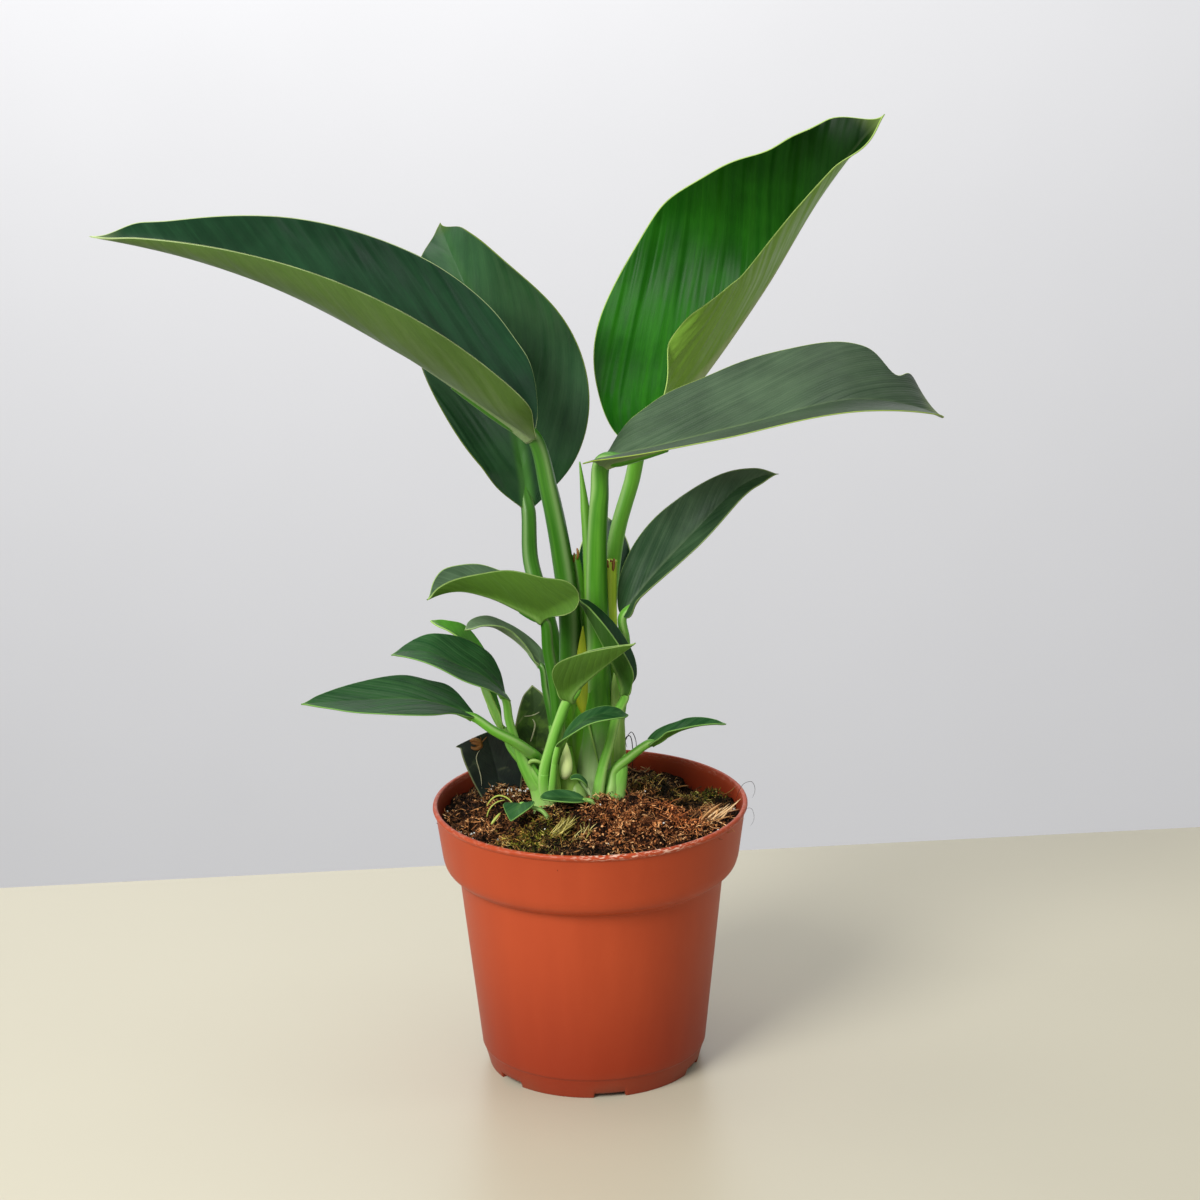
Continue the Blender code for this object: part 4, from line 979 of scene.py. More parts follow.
for name, leaf in LEAVES.items():
    at, _, normal, _ = blade_frame(leaf, RIB_ENDS)
    path, radius, arc, start = own_part(leaf, at - normal * leaf["radii"][-1] * RIB_DEPTHS)
    radius = radius * (NECK + (1 - NECK) * np.clip((arc - start + SINK) / SINK, 0, 1))
    stalk = tube_shell(path, radius, faces_way(leaf), channel=CHANNEL, look=1, start_mm=start)
    looks = [SKINS[leaf["skin"]], STALKS[leaf["stalk"]]]
    made = make_piece(name.replace("leaf", "blade"), [blade_shell(leaf), stalk], looks)
    settle(made, leaf.get("slot", "mature_leaf"), name)

# %% [markdown]
# ## Bare stalks
# Two stalks have lost their blades and ended in a dry cut, and the next leaf is still rolled up in a slim
# spear. They are the same channelled tube, closed by a rounded or a pointed end.

# %% Bare stalks
BARE_CHANNEL = 0.12
STEMS = {
    "petiole_stub_left": dict(
        petiole=[(-1.5, 10, 124), (-1.5, 9.5, 145), (-1.7, 8, 159), (-3.4, 6, 175.5)],
        radii=(2.2, 2.2, 2.0, 1.2), root=("main", [(-1, 8, 100), (-1.5, 10, 116)], (2.2, 1.8, 1.6)),
        stalk="stalk light",
    ),
    "petiole_stub_right": dict(
        petiole=[(8.2, 4.6, 141), (7.8, 5.4, 156), (8.0, 5.6, 173.5)], radii=(2.0, 2.1, 2.2),
        root=("main", [(5.5, 7.5, 108), (7.6, 5.8, 125)], (2.6, 2.1, 1.9)), stalk="stub",
    ),
    "spear": dict(
        petiole=[(0.5, 6.5, 128.5), (1, 6, 153), (1, 5, 174), (0, 4, 191.5), (-1.5, 3, 208)],
        radii=(1.5, 1.9, 2.0, 1.5, 0.25), root=("main", [(0, 6, 108), (0.5, 6.5, 119)], (1.8, 1.5, 1.3)),
        stalk="spear",
    ),
}
for name, stem in STEMS.items():
    path, radius, _, start = own_part(stem)
    stalk = tube_shell(path, radius, faces_way(stem), channel=BARE_CHANNEL, start_mm=start)
    settle(make_piece(name + "_skin", [stalk], [STALKS[stem["stalk"]]]), "stem", name)

# %% [markdown]
# ## The crown
# The stalks of a philodendron widen into sheaths low down, each wrapped round the younger ones, and all of
# them stand on one short stem in the soil. So each of the three stems has a foot that narrows upward and one
# tube for every stalk that starts there. Flat, tapering scales of older sheaths lie over them, and low on the
# main stem in front there is a small, nearly white bud.

# %% Crown table
BASES = {
    "main": ("main_stem", (-0.5, 5, 9.3, 83, 97), "crown"),
    "left": ("offshoot_left", (-13.5, -8, 4.3, 84, 96.5), "sprout"),
    "right": ("offshoot_right", (7.5, -7.5, 3.6, 84, 97), "sprout"),
}
SCALES = {
    "main": (
        ([(1.6, 3.4, 85), (1.6, 3.4, 95), (1.8, 3.4, 106), (2.2, 3.5, 117), (2.4, 3.8, 125), (2.4, 4.2, 132)],
         (9.4, 8.6, 8.9, 8.9, 7.4, 1.0), 0.72, "crown"),
        ([(1.0, 2.0, 88), (1.6, 1.2, 104), (2.9, 1.0, 120), (3.4, 1.0, 133), (3.5, 1.0, 148)],
         (6.6, 6.3, 5.5, 4.4, 3.0), 0.95, "stalk"),
        ([(-0.9, -1.2, 121), (-1.9, -1.3, 127), (-2.4, -1.2, 133), (-1.9, -0.9, 142), (-1.4, -0.4, 153)],
         (0.2, 2.2, 2.8, 1.9, 0.2), 0.45, "golden"),
        ([(9.6, 0.5, 100), (9.7, -0.5, 112), (9.5, -1.2, 124), (9.0, -1.4, 132), (8.6, -1.2, 137)],
         (2.6, 2.4, 2.1, 1.4, 0.1), 0.5, "sheath"),
        ([(-8.4, -8, 103), (-8.1, -9.2, 105.2), (-7.8, -9.8, 108.2), (-7.6, -9.6, 111.4),
          (-7.4, -8.8, 115.6)], (1.0, 2.0, 2.2, 1.6, 0.1), 0.75, "bud"),
        ([(-6.8, -3, 86), (-7.3, -3.2, 96), (-7.6, -3, 104), (-7.4, -2.6, 112)],
         (4.6, 4.2, 3.2, 1.6), 0.8, "crown"),
        ([(-9.8, -5.6, 107), (-9.3, -6.0, 113), (-9.0, -6.0, 117), (-8.3, -5.4, 121.3)],
         (1.2, 1.4, 1.3, 0.1), 0.6, "sheath"),
        ([(-3.6, -4, 86), (-4.0, -5, 93), (-4.6, -4.6, 97.5), (-5.4, -4.2, 100.5)],
         (4.4, 3.8, 2.6, 0.4), 0.8, "sheath"),
        ([(-0.8, -4.2, 125), (0.3, -4.9, 118.5), (1.8, -5.2, 112), (3.1, -5.1, 105.5)],
         (0.1, 0.35, 0.35, 0.1), 1.0, "sheath"),
    ),
    "left": (
        ([(-19.8, -12, 109.6), (-18.9, -12.3, 110.7), (-17.3, -12.6, 110.7), (-15.8, -12, 109.6)],
         (0.5, 0.7, 0.6, 0.5), 1.0, "sheath"),
        ([(-14.6, -10, 88), (-15.6, -9.8, 96), (-17.8, -9.6, 103), (-19.6, -9.8, 108.5)],
         (4.0, 3.6, 2.6, 1.2), 0.7, "sprout"),
        ([(-12.2, -9, 88), (-12.0, -9.2, 96), (-11.6, -9.4, 104), (-11.2, -9.6, 112)],
         (3.0, 2.6, 1.8, 0.4), 0.7, "crown"),
    ),
    "right": (
        ([(7.2, -6.6, 88), (8.6, -6.4, 97), (10.4, -5.8, 104), (12.0, -5.6, 110)],
         (3.6, 3.2, 2.2, 0.4), 0.6, "sprout"),
    ),
}
print("scales:", {where: len(scales) for where, scales in SCALES.items()})

# %% [markdown]
# ## Building the crown
# The table gives each stem's place, radius, foot and top, and each scale's path, radii, flatness and look.
# A sheath follows the same path as the stalk above it, so the two meet without a step.

# %% Make the crown
FRONT = (0, -1, 0)
TRUNK_RINGS, TRUNK_TAPER, TRUNK_SIDES = 14, 0.35, 40
LET_DOWN, LET_DOWN_RINGS, RING_GAP = 5.0, 5, 0.8
SCALE_RINGS, SCALE_SIDES, SCALE_POINT = 36, 36, 0.05


def sheath(piece):
    """The part of a stalk below its leaf, let down further into the stem along its own lowest direction."""
    path, widths, arc, start = stalk_line(piece)
    own = arc <= start
    down = np.linspace(LET_DOWN, RING_GAP, LET_DOWN_RINGS)[:, None] * unit(path[0] - path[2])
    widths = np.concatenate([np.full(LET_DOWN_RINGS, widths[0]), widths[own]])
    line = np.concatenate([path[0] + down, path[own]])
    return tube_shell(line, widths, faces_way(piece), channel=CHANNEL, start_mm=-LET_DOWN)


for where, (node, (x, y, radius, foot, top), foot_look) in BASES.items():
    rise = np.linspace(0, 1, TRUNK_RINGS)
    trunk = np.stack([np.full(TRUNK_RINGS, x), np.full(TRUNK_RINGS, y), foot + (top - foot) * rise], 1)
    shells = [tube_shell(trunk, radius * (1 - TRUNK_TAPER * rise**2), FRONT, sides=TRUNK_SIDES)]
    rooted = [piece for piece in (*LEAVES.values(), *STEMS.values()) if "root" in piece]
    shells += [sheath(piece) for piece in rooted if piece["root"][0] == where]
    looks = [foot_look]
    for points, radii, flat, look in SCALES[where]:
        looks += [look] if look not in looks else []
        line = smooth_path(np.column_stack([points, radii]), SCALE_RINGS)
        widths, number = np.maximum(line[:, 3], SCALE_POINT), looks.index(look)
        shells.append(tube_shell(line[:, :3], widths, FRONT, SCALE_SIDES, squash=flat, look=number))
    settle(make_piece("crown_" + where, shells, [STALKS[look] for look in looks]), "stem", node)

# %% [markdown]
# ## Two old leaves
# Two dying leaves stand upright behind the offshoots. They are dark slate or mottled green, scarred by pale
# lines, with a yellowish edge. The same skin in dry browns and creams serves for their torn edges and for the
# dead threads on the cut stalks.

# %% Old leaf finish
tree, given = new_skin("old leaf skin", {
    "Skin": (34, 48, 40), "Mottle": (60, 84, 52), "Dry": (150, 112, 62), "Edge": (150, 160, 110),
    "Dry From": 0.9, "Scar": 0.5,
})
CRACK_SCALE, DRY_REACH = 95.0, 0.12
clouds = grain(place(tree), EVEN, 130.0, 4.0, 0.6)
fibre = grain(field(tree, "grain", "Vector"), (1.0, 0.1, 1.0), 1.6, 3.0, 0.6)
crack_feeds = {"Vector": place(tree), "Scale": CRACK_SCALE}
cracks = Signal(add_node(tree, "ShaderNodeTexVoronoi", crack_feeds, feature="DISTANCE_TO_EDGE"))
scar = cracks.ease(0.012, 0.05, 1.0, 0.0) * clouds.ease(0.48, 0.6) * given["Scar"]
colour = blend(clouds.ease(0.42, 0.66), given["Skin"], given["Mottle"])
colour = blend(fibre * 0.3, colour, given["Mottle"])
colour = blend(scar, colour, given["Edge"])
colour = blend(field(tree, "edge").ease(0.25, 0.6, 0.8, 0.0), colour, given["Edge"])
withered = clouds * 0.12 + field(tree, "share")
colour = blend(withered.ease(given["Dry From"], given["Dry From"] + DRY_REACH), colour, given["Dry"])
OLD_SKIN = close_skin(tree, colour, clouds.ease(0.3, 0.7, 0.45, 0.7), fibre * 0.5 + clouds)

OLD_LOOKS = {
    "mottled": dict(bump=0.2, Skin=(36, 60, 32), Mottle=(104, 140, 56), Scar=0.8, Dry_From=1.05),
    "slate": dict(bump=0.2, Skin=(36, 46, 42), Mottle=(52, 66, 54), Scar=0.2, Dry_From=1.08),
    "edge": dict(
        bump=0.1, Skin=(190, 184, 140), Mottle=(220, 216, 180), Edge=(206, 204, 168), Scar=0.0, Dry_From=2.0,
    ),
    "dry": dict(
        bump=0.3, Skin=(110, 66, 26), Mottle=(176, 120, 60), Edge=(150, 98, 44), Scar=0.0, Dry_From=2.0,
    ),
}
OLD = {name: new_material("old leaf " + name, OLD_SKIN, **look) for name, look in OLD_LOOKS.items()}
print("old leaf finishes:", len(OLD))

# %% [markdown]
# ## Their blades
# Their blades are the same surface as the green ones, stiffer and nearly flat, with wavy margins. A short
# stalk carries each of them out of the soil.

# %% Old leaves
OLD_LEAVES = {
    "old_leaf_upright": dict(
        midrib=[(-17, 8, 92.5), (-17.5, 8, 102), (-18, 7, 116.5), (-18.5, 7, 130.5)],
        faces=(0.15, -1, 0), half_width=8, widest=0.35, round=0.35,
        fold=(6, 6), curl=(8, 8), petiole=[(-17, 8, 86), (-17, 8, 92)], radii=(1.2, 1.2),
        waves=((-1, 0.8, 1.6, 0.1), (1, 0.9, 2.1, 0.4)), notches=((-1, 0.15, 0.25, -0.55),),
        fine=(90, 16), skin="mottled",
    ),
    "old_leaf_torn": dict(
        midrib=[(-29, 13.3, 80), (-30, 12.9, 91), (-31.8, 12.5, 101), (-34.5, 11.6, 112.5)],
        faces=(0.2, -1, 0.2), half_width=9.8, widest=0.84, round=0.6, cusp=0.03,
        fold=(4, 8), curl=(6, 16), petiole=[(-28.8, 13.4, 79), (-29.2, 13.2, 84)], radii=(1.2, 1.2),
        waves=((-1, 0.7, 1.4, 0.3), (1, 0.6, 2.0, 0.0)), notches=((-1, 0.97, 0.02, 0.2),),
        fine=(120, 18), skin="slate",
    ),
}
for name, leaf in OLD_LEAVES.items():
    path, radius, _, _ = stalk_line(leaf)
    shells = [blade_shell(leaf), tube_shell(path, radius, FRONT, sides=12)]
    settle(make_piece(name + "_blade", shells, [OLD[leaf["skin"]]]), "old_leaf", name)

# %% [markdown]
# ## Lines to turn
# A turned form starts as a line of corners. Points are placed close together at every corner, so that the
# edges stay soft but crisp, and along the straights in even steps, before the line is carried round the axis.

# %% Line helpers
def rounded_line(corners, rounding, steps=5):
    """A line through the corners with every corner cut off by a short curve of its own rounding."""
    corners = np.array(corners, float)
    line = [corners[:1]]
    for before, corner, after, size in zip(corners, corners[1:], corners[2:], rounding):
        into, out = before - corner, after - corner
        size = min(size, 0.45 * np.linalg.norm(into), 0.45 * np.linalg.norm(out))
        start, end = corner + unit(into) * size, corner + unit(out) * size
        t = np.linspace(0, 1, steps)[:, None]
        line.append(start * (1 - t) ** 2 + 2 * corner * t * (1 - t) + end * t**2)
    line.append(corners[-1:])
    return np.concatenate(line)


def filled_line(line, longest):
    """The line with points added so that none of its steps is longer than the given length."""
    pieces = []
    for first, last in zip(line, line[1:]):
        count = max(1, math.ceil(np.linalg.norm(last - first) / longest))
        t = np.linspace(0, 1, count, endpoint=False)[:, None]
        pieces.append(first * (1 - t) + last * t)
    return np.concatenate(pieces + [line[-1:]])


def turned(radius, angle, height):
    """Points at a radius, a turn from the front and a height: sine to the right, cosine to the front."""
    across, ahead, up = np.broadcast_arrays(radius * np.sin(angle), -radius * np.cos(angle), height)
    return np.stack([across, ahead, up], -1)


print("a square corner becomes", len(rounded_line([(0, 0), (1, 0), (1, 1)], [0.3])), "points")

# %% [markdown]
# ## The pot
# The pot is injection moulded from terracotta-coloured plastic: a thin wall that widens upward, a taller
# collar, a rolled rim and a stepped foot with notches that let water out. Its section is one closed line,
# which is carried round the axis, and the foot's notches are pressed up into its lowest points.

# %% Pot shape
RIM_RADIUS, POT_HEIGHT, FOOT_RADIUS = 52.5, 92.0, 35.3
STEP_HEIGHT, COLLAR_HEIGHT = 7.1, 69.0
FLOOR_RADIUS, FLOOR_TOP, FLOOR_UNDERSIDE, FOOT_RING = 35.1, 4.6, 3.0, 2.0
AXIS_GAP, LONGEST_STEP, TURN_STEP_DEG = 0.6, 3.0, 1.5
NOTCH_COUNT, NOTCH_WIDTH, NOTCH_HEIGHT, FIRST_NOTCH_DEG, NOTCH_SLOPE = 6, 10.5, 1.6, 8.0, 0.006
INNER_WALL = (
    (FOOT_RADIUS + 1.2, FLOOR_TOP + 4.0), (43.0, COLLAR_HEIGHT + 0.6), (46.6, COLLAR_HEIGHT + 1.9),
    (48.0, COLLAR_HEIGHT + 5.0), (50.4, POT_HEIGHT - 1.6),
)
OUTER_WALL = (
    (FOOT_RADIUS + 1.9, STEP_HEIGHT - 0.3), (FOOT_RADIUS + 2.4, STEP_HEIGHT + 0.4),
    (44.2, COLLAR_HEIGHT - 0.6), (46.5, COLLAR_HEIGHT + 0.3), (48.6, COLLAR_HEIGHT + 2.4),
    (49.4, COLLAR_HEIGHT + 5.0), (51.6, POT_HEIGHT - 2.0),
)
RIM = ((-1.6, -0.1), (-0.8, 0.0), (-0.2, -0.3), (0.0, -1.0), (-0.5, -1.9))

inner_foot = FOOT_RADIUS - FOOT_RING
rim = [(RIM_RADIUS + outward, POT_HEIGHT + upward) for outward, upward in RIM]
section = [(AXIS_GAP, FLOOR_TOP), (FLOOR_RADIUS, FLOOR_TOP), *INNER_WALL, *rim, *OUTER_WALL[::-1]]
section += [(FOOT_RADIUS + 0.05, 0), (inner_foot, 0)]
section += [(inner_foot, FLOOR_UNDERSIDE), (AXIS_GAP, FLOOR_UNDERSIDE)]
rounding = [0.8] * 2 + [2.0] * 4 + [0.5] * 6 + [1.6] * 5 + [0.25] * 2 + [0.4, 0.3, 0.4]
line = filled_line(rounded_line(section, rounding), LONGEST_STEP)

notch_middles = np.radians(FIRST_NOTCH_DEG + np.arange(NOTCH_COUNT) * 360 / NOTCH_COUNT)
half_notch = math.asin(NOTCH_WIDTH / 2 / FOOT_RADIUS)
slopes = np.array([-1, -1, 1, 1]) * half_notch + np.array([-1, 1, -1, 1]) * NOTCH_SLOPE
regular = np.radians(np.arange(0, 360, TURN_STEP_DEG))
around = np.concatenate([regular, (notch_middles[:, None] + slopes).ravel()])
around = np.unique(np.round(np.mod(around, FULL_TURN), 5))
from_notch = np.abs(np.mod(around[:, None] - notch_middles + math.pi, FULL_TURN) - math.pi).min(1)
pressed = np.clip((half_notch + NOTCH_SLOPE - from_notch) / (2 * NOTCH_SLOPE), 0, 1) * NOTCH_HEIGHT
radii, heights = line[:, :1], line[:, 1:]
lifted = np.maximum(heights, np.where(radii > inner_foot - 0.5, pressed, 0))
pot_shape = shell(turned(radii, around, lifted))
print("pot section points:", len(line), "around:", len(around))

# %% [markdown]
# ## The plastic of the pot
# Moulded plastic has one colour through and through, but it is never even: the flow of the melt leaves faint
# upright streaks, handling leaves dull scuffs on the rim, most of all in front, where their pale colour also
# serves as a painted highlight, and watering leaves a little soil dust low on the wall. Shade is painted in
# too: the wall darkens toward the foot, and its inside above the soil is darker still, which the finish finds
# by its distance from the axis.

# %% Pot finish
tree, given = new_skin("moulded plastic", {
    "Plastic": (184, 76, 40), "Deep": (162, 61, 30), "Chalk And Highlight": (222, 178, 156), "Dust": (120, 82, 60),
    "Gloss": 0.42,
})
# Colours that multiply the plastic as painted shade: inside the wall above the soil, and toward the foot.
INSIDE_PAINTED_SHADE, FOOT_PAINTED_SHADE = (0.56, 0.46, 0.46, 1.0), (0.66, 0.5, 0.5, 1.0)
FRONT_SCUFF_AND_HIGHLIGHT = (0.016, -0.049, 0.091)
WALL_LEAN, WALL_START = 0.14, 0.0383
at = in_pot(tree)
up = at.part(2)
flow = grain(at, (1.0, 1.0, 0.12), 130.0)
clouds = grain(at, EVEN, 28.0)
scratches = grain(at, (1.0, 1.0, 5.0), 420.0, 3.0, 0.6)
colour = blend((flow * 0.5).math("ADD", clouds * 0.5, clamp=True), given["Deep"], given["Plastic"])
from_axis = at.vector("MULTIPLY", (1.0, 1.0, 0.0)).vector("DISTANCE", (0.0, 0.0, 0.0), "Value")
# Painted shade: the inside of the wall above the soil is darkened, less so near the rim.
inside = (from_axis - (up * WALL_LEAN + WALL_START)).ease(-0.0004, 0.0004, 1.0, 0.0)
inside = inside * up.ease(0.074, 0.076) * up.ease(0.0865, 0.0925, 1.0, 0.5)
colour = blend(inside, colour, INSIDE_PAINTED_SHADE, "MULTIPLY")
# Scuffs on the front of the rim; their pale colour is partly wear and partly a painted highlight.
near_front = at.vector("DISTANCE", FRONT_SCUFF_AND_HIGHLIGHT, "Value").ease(0.008, 0.03, 1.0, 0.15)
scuff_and_highlight = scratches.ease(0.5, 0.6) * near_front * up.ease(0.0895, 0.0915)
colour = blend(scuff_and_highlight, colour, given["Chalk And Highlight"])
# Painted shade: the wall darkens toward the foot.
colour = blend(up.ease(0.0, 0.06, 1.0, 0.0), colour, FOOT_PAINTED_SHADE, "MULTIPLY")
colour = blend(up.ease(0.0, 0.012, 1.0, 0.0) * clouds.ease(0.4, 0.7, 0.1, 0.5), colour, given["Dust"])
rough = (scuff_and_highlight * 0.25).math("ADD", clouds * 0.18 + (given["Gloss"] - 0.09), clamp=True)
height = flow * 0.5 + grain(at, EVEN, 2600.0, 2.0) * 0.25
plastic = new_material("terracotta plastic", close_skin(tree, colour, rough, height), 0.1, 0.2)

# %% [markdown]
# ## Drain holes
# Six round holes let water out of the floor. Short rods stand where the holes are, a Boolean takes them
# out of the pot, and the rods are removed again.

# %% Drain holes
DRAIN_COUNT, DRAIN_RADIUS, DRAIN_CIRCLE, DRAIN_SIDES = 6, 3.5, 21.0, 32
pot = make_piece("pot_shell", [pot_shape], [plastic], sharp_degrees=60)
turns = np.linspace(0, FULL_TURN, DRAIN_SIDES, endpoint=False)
drain_ring = DRAIN_RADIUS * np.stack([np.cos(turns), np.sin(turns), 0 * turns], -1)
drills = []
for angle in np.radians(np.arange(DRAIN_COUNT) * 360 / DRAIN_COUNT):
    ends = [drain_ring + turned(DRAIN_CIRCLE, angle, z) for z in (FLOOR_UNDERSIDE - 1, FLOOR_TOP + 1)]
    drills.append(shell(np.stack(ends)))
drill = make_piece("drill", drills, [plastic])
cut = pot.modifiers.new("Drain holes", "BOOLEAN")
cut.operation, cut.solver, cut.object = "DIFFERENCE", "EXACT", drill
bpy.context.view_layer.update()
cut_mesh = bpy.data.meshes.new_from_object(pot.evaluated_get(bpy.context.evaluated_depsgraph_get()))
pot.modifiers.clear()
pot.data = cut_mesh
bpy.data.objects.remove(drill)
settle(pot, "pot", "pot")

# %% [markdown]
# ## The peat
# Potting peat is a tangle of short brown fibres and crumbs with mounds and hollows. The body is one closed
# surface whose top follows the same mounds as the solid, with smooth noise of several sizes on it. The noise
# is made on a lattice of random numbers that are eased into each other. Its sides and floor follow the pot's
# inner wall at a small distance.

# %% Peat body
SOIL_EDGE = 86.5
SOIL_MOUNDS = (
    (-1.0, -4.0, 6.5, 17.0), (18.0, -12.0, 3.5, 13.0), (-3.0, -33.0, 3.2, 15.0), (28.0, -28.0, 3.0, 14.0),
    (33.0, 27.0, 3.5, 6.0), (20.0, 20.0, -2.5, 10.0), (-38.0, 4.0, -1.0, 10.0),
)
SOIL_RIPPLES = ((0.55, 0.36, 0.21, 0.4), (0.45, -0.27, 0.44, 1.9), (0.35, 0.58, -0.33, 3.1))
PEAT_HEAPS = (
    (-12.0, -15.0, 2.6, 7.4), (23.0, 9.0, 8.5, 5.5), (-29.0, 7.0, 6.5, 8.0), (40.0, 13.0, 6.0, 3.6),
    (14.0, -25.0, 1.8, 9.0), (38.0, 26.0, -8.0, 9.0), (32.0, -1.0, -2.5, 7.0), (44.0, -6.0, 2.0, 6.0),
)
PEAT_LUMPS = ((5.5, 1.3, 3), (2.4, 1.4, 5), (1.1, 0.9, 8))
LATTICE = 128
PEAT_RINGS, PEAT_SIDES, PEAT_MIDDLE, WALL_GAP = 100, 260, 0.4, 0.4
SIDE_GAP, FLOOR_GAP = 0.6, 0.3


def lattice_noise(x, y, seed):
    """Random numbers at whole-number places, from -1 to 1, eased between the four nearest of them."""
    values = np.random.default_rng(seed).uniform(-1, 1, (LATTICE, LATTICE))
    column, row = np.floor(x).astype(int), np.floor(y).astype(int)
    across, up = eased(x - column), eased(y - row)
    here, after = column % LATTICE, (column + 1) % LATTICE
    low, high = (
        values[line, here] * (1 - across) + values[line, after] * across
        for line in (row % LATTICE, (row + 1) % LATTICE)
    )
    return low * (1 - up) + high * up


def heaped(x, y, heaps):
    """The sum of round heaps, each its rise times a bell curve of the distance from its middle."""
    return sum(
        rise * np.exp(-((x - at_x) ** 2 + (y - at_y) ** 2) / (2 * spread**2))
        for at_x, at_y, rise, spread in heaps
    )


def peat_lumps(x, y):
    """Noise of three sizes, with the hollows deeper than the lumps are high."""
    lumps = sum(rise * lattice_noise(x / size + 50, y / size + 50, seed) for size, rise, seed in PEAT_LUMPS)
    return lumps - 0.25 * lumps**2


def peat_height(x, y):
    """The solid's mounds and its sine ripples, the heaps and hollows on them, and lumps of three sizes."""
    ripples = sum(rise * np.sin(a * x + b * y + phase) for rise, a, b, phase in SOIL_RIPPLES)
    return SOIL_EDGE + heaped(x, y, SOIL_MOUNDS) + ripples + heaped(x, y, PEAT_HEAPS) + peat_lumps(x, y)


wall_radii, wall_heights = zip(*INNER_WALL)
soil_edge = float(np.interp(SOIL_EDGE, wall_heights, wall_radii)) - WALL_GAP
angle = np.linspace(0, FULL_TURN, PEAT_SIDES, endpoint=False)
top = turned(np.linspace(PEAT_MIDDLE, soil_edge, PEAT_RINGS)[:, None], angle, 0.0)
top[..., 2] = peat_height(top[..., 0], top[..., 1])
below = np.array([*INNER_WALL[-2::-1], (FLOOR_RADIUS, FLOOR_TOP)]) + (-SIDE_GAP, FLOOR_GAP)
below = np.concatenate([below, [(SIDE_GAP, FLOOR_TOP + FLOOR_GAP)]])
peat_shape = shell(np.concatenate([top, turned(below[:, :1], angle, below[:, 1:])]))
print("soil from", round(top[..., 2].min(), 1), "to", round(top[..., 2].max(), 1), "mm above the foot")

# %% [markdown]
# ## The finish of the peat
# One skin serves for the ground and for everything that lies on it. The ground between the fibres is painted
# nearly black, as painted shade in the gaps of the dark peat, and each fibre takes its place from dark brown to
# straw by the tone that its points carry. Soft round tints lie over both: greenish where moss starts, reddish
# in front, and paler on both sides.

# %% Peat finish
tree, given = new_skin("peat", {
    "Dark": (30, 18, 10), "Mid": (104, 68, 40), "Light": (190, 138, 84), "Pale": (246, 216, 160),
    "Moss": (0.76, 0.86, 0.5, 1.0), "Red": (1.15, 0.82, 0.66, 1.0), "Dry": (1.6, 1.38, 1.25, 1.0),
    "Ground": 1.0,
})
# The two spots named Dry make the soil paler at the left and the right.
TINTED_SPOTS = (
    ("Moss", -0.017, -0.030, 0.020), ("Moss", 0.024, 0.010, 0.018), ("Moss", 0.040, 0.013, 0.012),
    ("Red", 0.016, -0.024, 0.034), ("Dry", -0.034, -0.012, 0.034), ("Dry", 0.036, -0.016, 0.020),
)
SPOT_HEIGHT = 0.09
at = in_pot(tree)
lumps = grain(at, EVEN, 420.0, 5.0, 0.7)
threads = grain(at, (1.0, 0.4, 1.0), 1300.0, 3.0, 0.65)
patches = grain(at, EVEN, 60.0, 3.0, 0.6).ease(0.25, 0.5)
ground_tone = lumps.ease(0.42, 0.68) * threads.ease(0.35, 0.7)
# Painted shade: the ground between the fibres is painted nearly black.
ground = blend(ground_tone.ease(0.0, 0.9, 0.0, 0.8), (14, 9, 5), given["Mid"])
tone = lumps * 0.4 + (field(tree, "tone") - 0.2)
fibre = blend(tone.ease(0.0, 0.35), given["Dark"], given["Mid"])
fibre = blend(tone.ease(0.3, 0.7), fibre, given["Light"])
fibre = blend(tone.ease(0.7, 1.0), fibre, given["Pale"])
colour = blend(given["Ground"], fibre, ground)
for tint, x, y, reach in TINTED_SPOTS:
    near = at.vector("DISTANCE", (x, y, SPOT_HEIGHT), "Value").ease(0.4 * reach, reach, 1.0, 0.0)
    colour = blend(near * patches, colour, given[tint], "MULTIPLY")
PEAT_SKIN = close_skin(tree, colour, lumps.ease(0.3, 0.7, 0.95, 0.7), threads * 0.6 + lumps)

UNTINTED = dict.fromkeys(("Moss", "Red", "Dry"), (1.0, 1.0, 1.0, 1.0))
LOOSE = dict(bump=0.3, Ground=0.0)
EARTH_LOOKS = {
    "peat earth": dict(bump=1.2, specular=0.1),
    "peat fibre": dict(LOOSE, specular=0.25),
    "moss": dict(
        LOOSE, specular=0.2, Dark=(30, 28, 8), Mid=(92, 92, 30), Light=(160, 156, 62), Pale=(214, 208, 110),
    ),
    "wood strips": dict(
        LOOSE, **UNTINTED, specular=0.2, Dark=(76, 44, 22), Mid=(164, 112, 62), Light=(222, 170, 112),
        Pale=(250, 216, 166),
    ),
    "straw": dict(
        LOOSE, **UNTINTED, specular=0.2, Dark=(84, 74, 26), Mid=(150, 136, 56), Light=(202, 188, 98),
        Pale=(226, 214, 140),
    ),
    "perlite": dict(
        LOOSE, **UNTINTED, Dark=(190, 184, 170), Mid=(214, 210, 200), Light=(236, 234, 228),
        Pale=(248, 248, 244),
    ),
}
EARTHS = {name: new_material(name, PEAT_SKIN, **look) for name, look in EARTH_LOOKS.items()}
settle(make_piece("peat_body", [peat_shape], [EARTHS["peat earth"]]), "peat", "soil")

# %% [markdown]
# ## Fibres, crumbs, moss and grains
# What makes peat look like peat lies loose on it: thousands of short bent fibres and crumbs, tufts of
# moss, a bundle of straw, a few white grains and strips of pale wood. Each kind is one piece. All its parts
# are worked out together: an array holds one path or one lump for every part, and a random number per part
# sets its tone. Fibres on a lump are painted brighter than those in a hollow, as painted shade where less
# light comes down.

# %% Places on the soil
EDGE_GAP = 1.5
FLAT_LIGHT, LIGHT_PER_LUMP, DIMMEST, BRIGHTEST = 0.68, 0.5, 0.05, 1.4


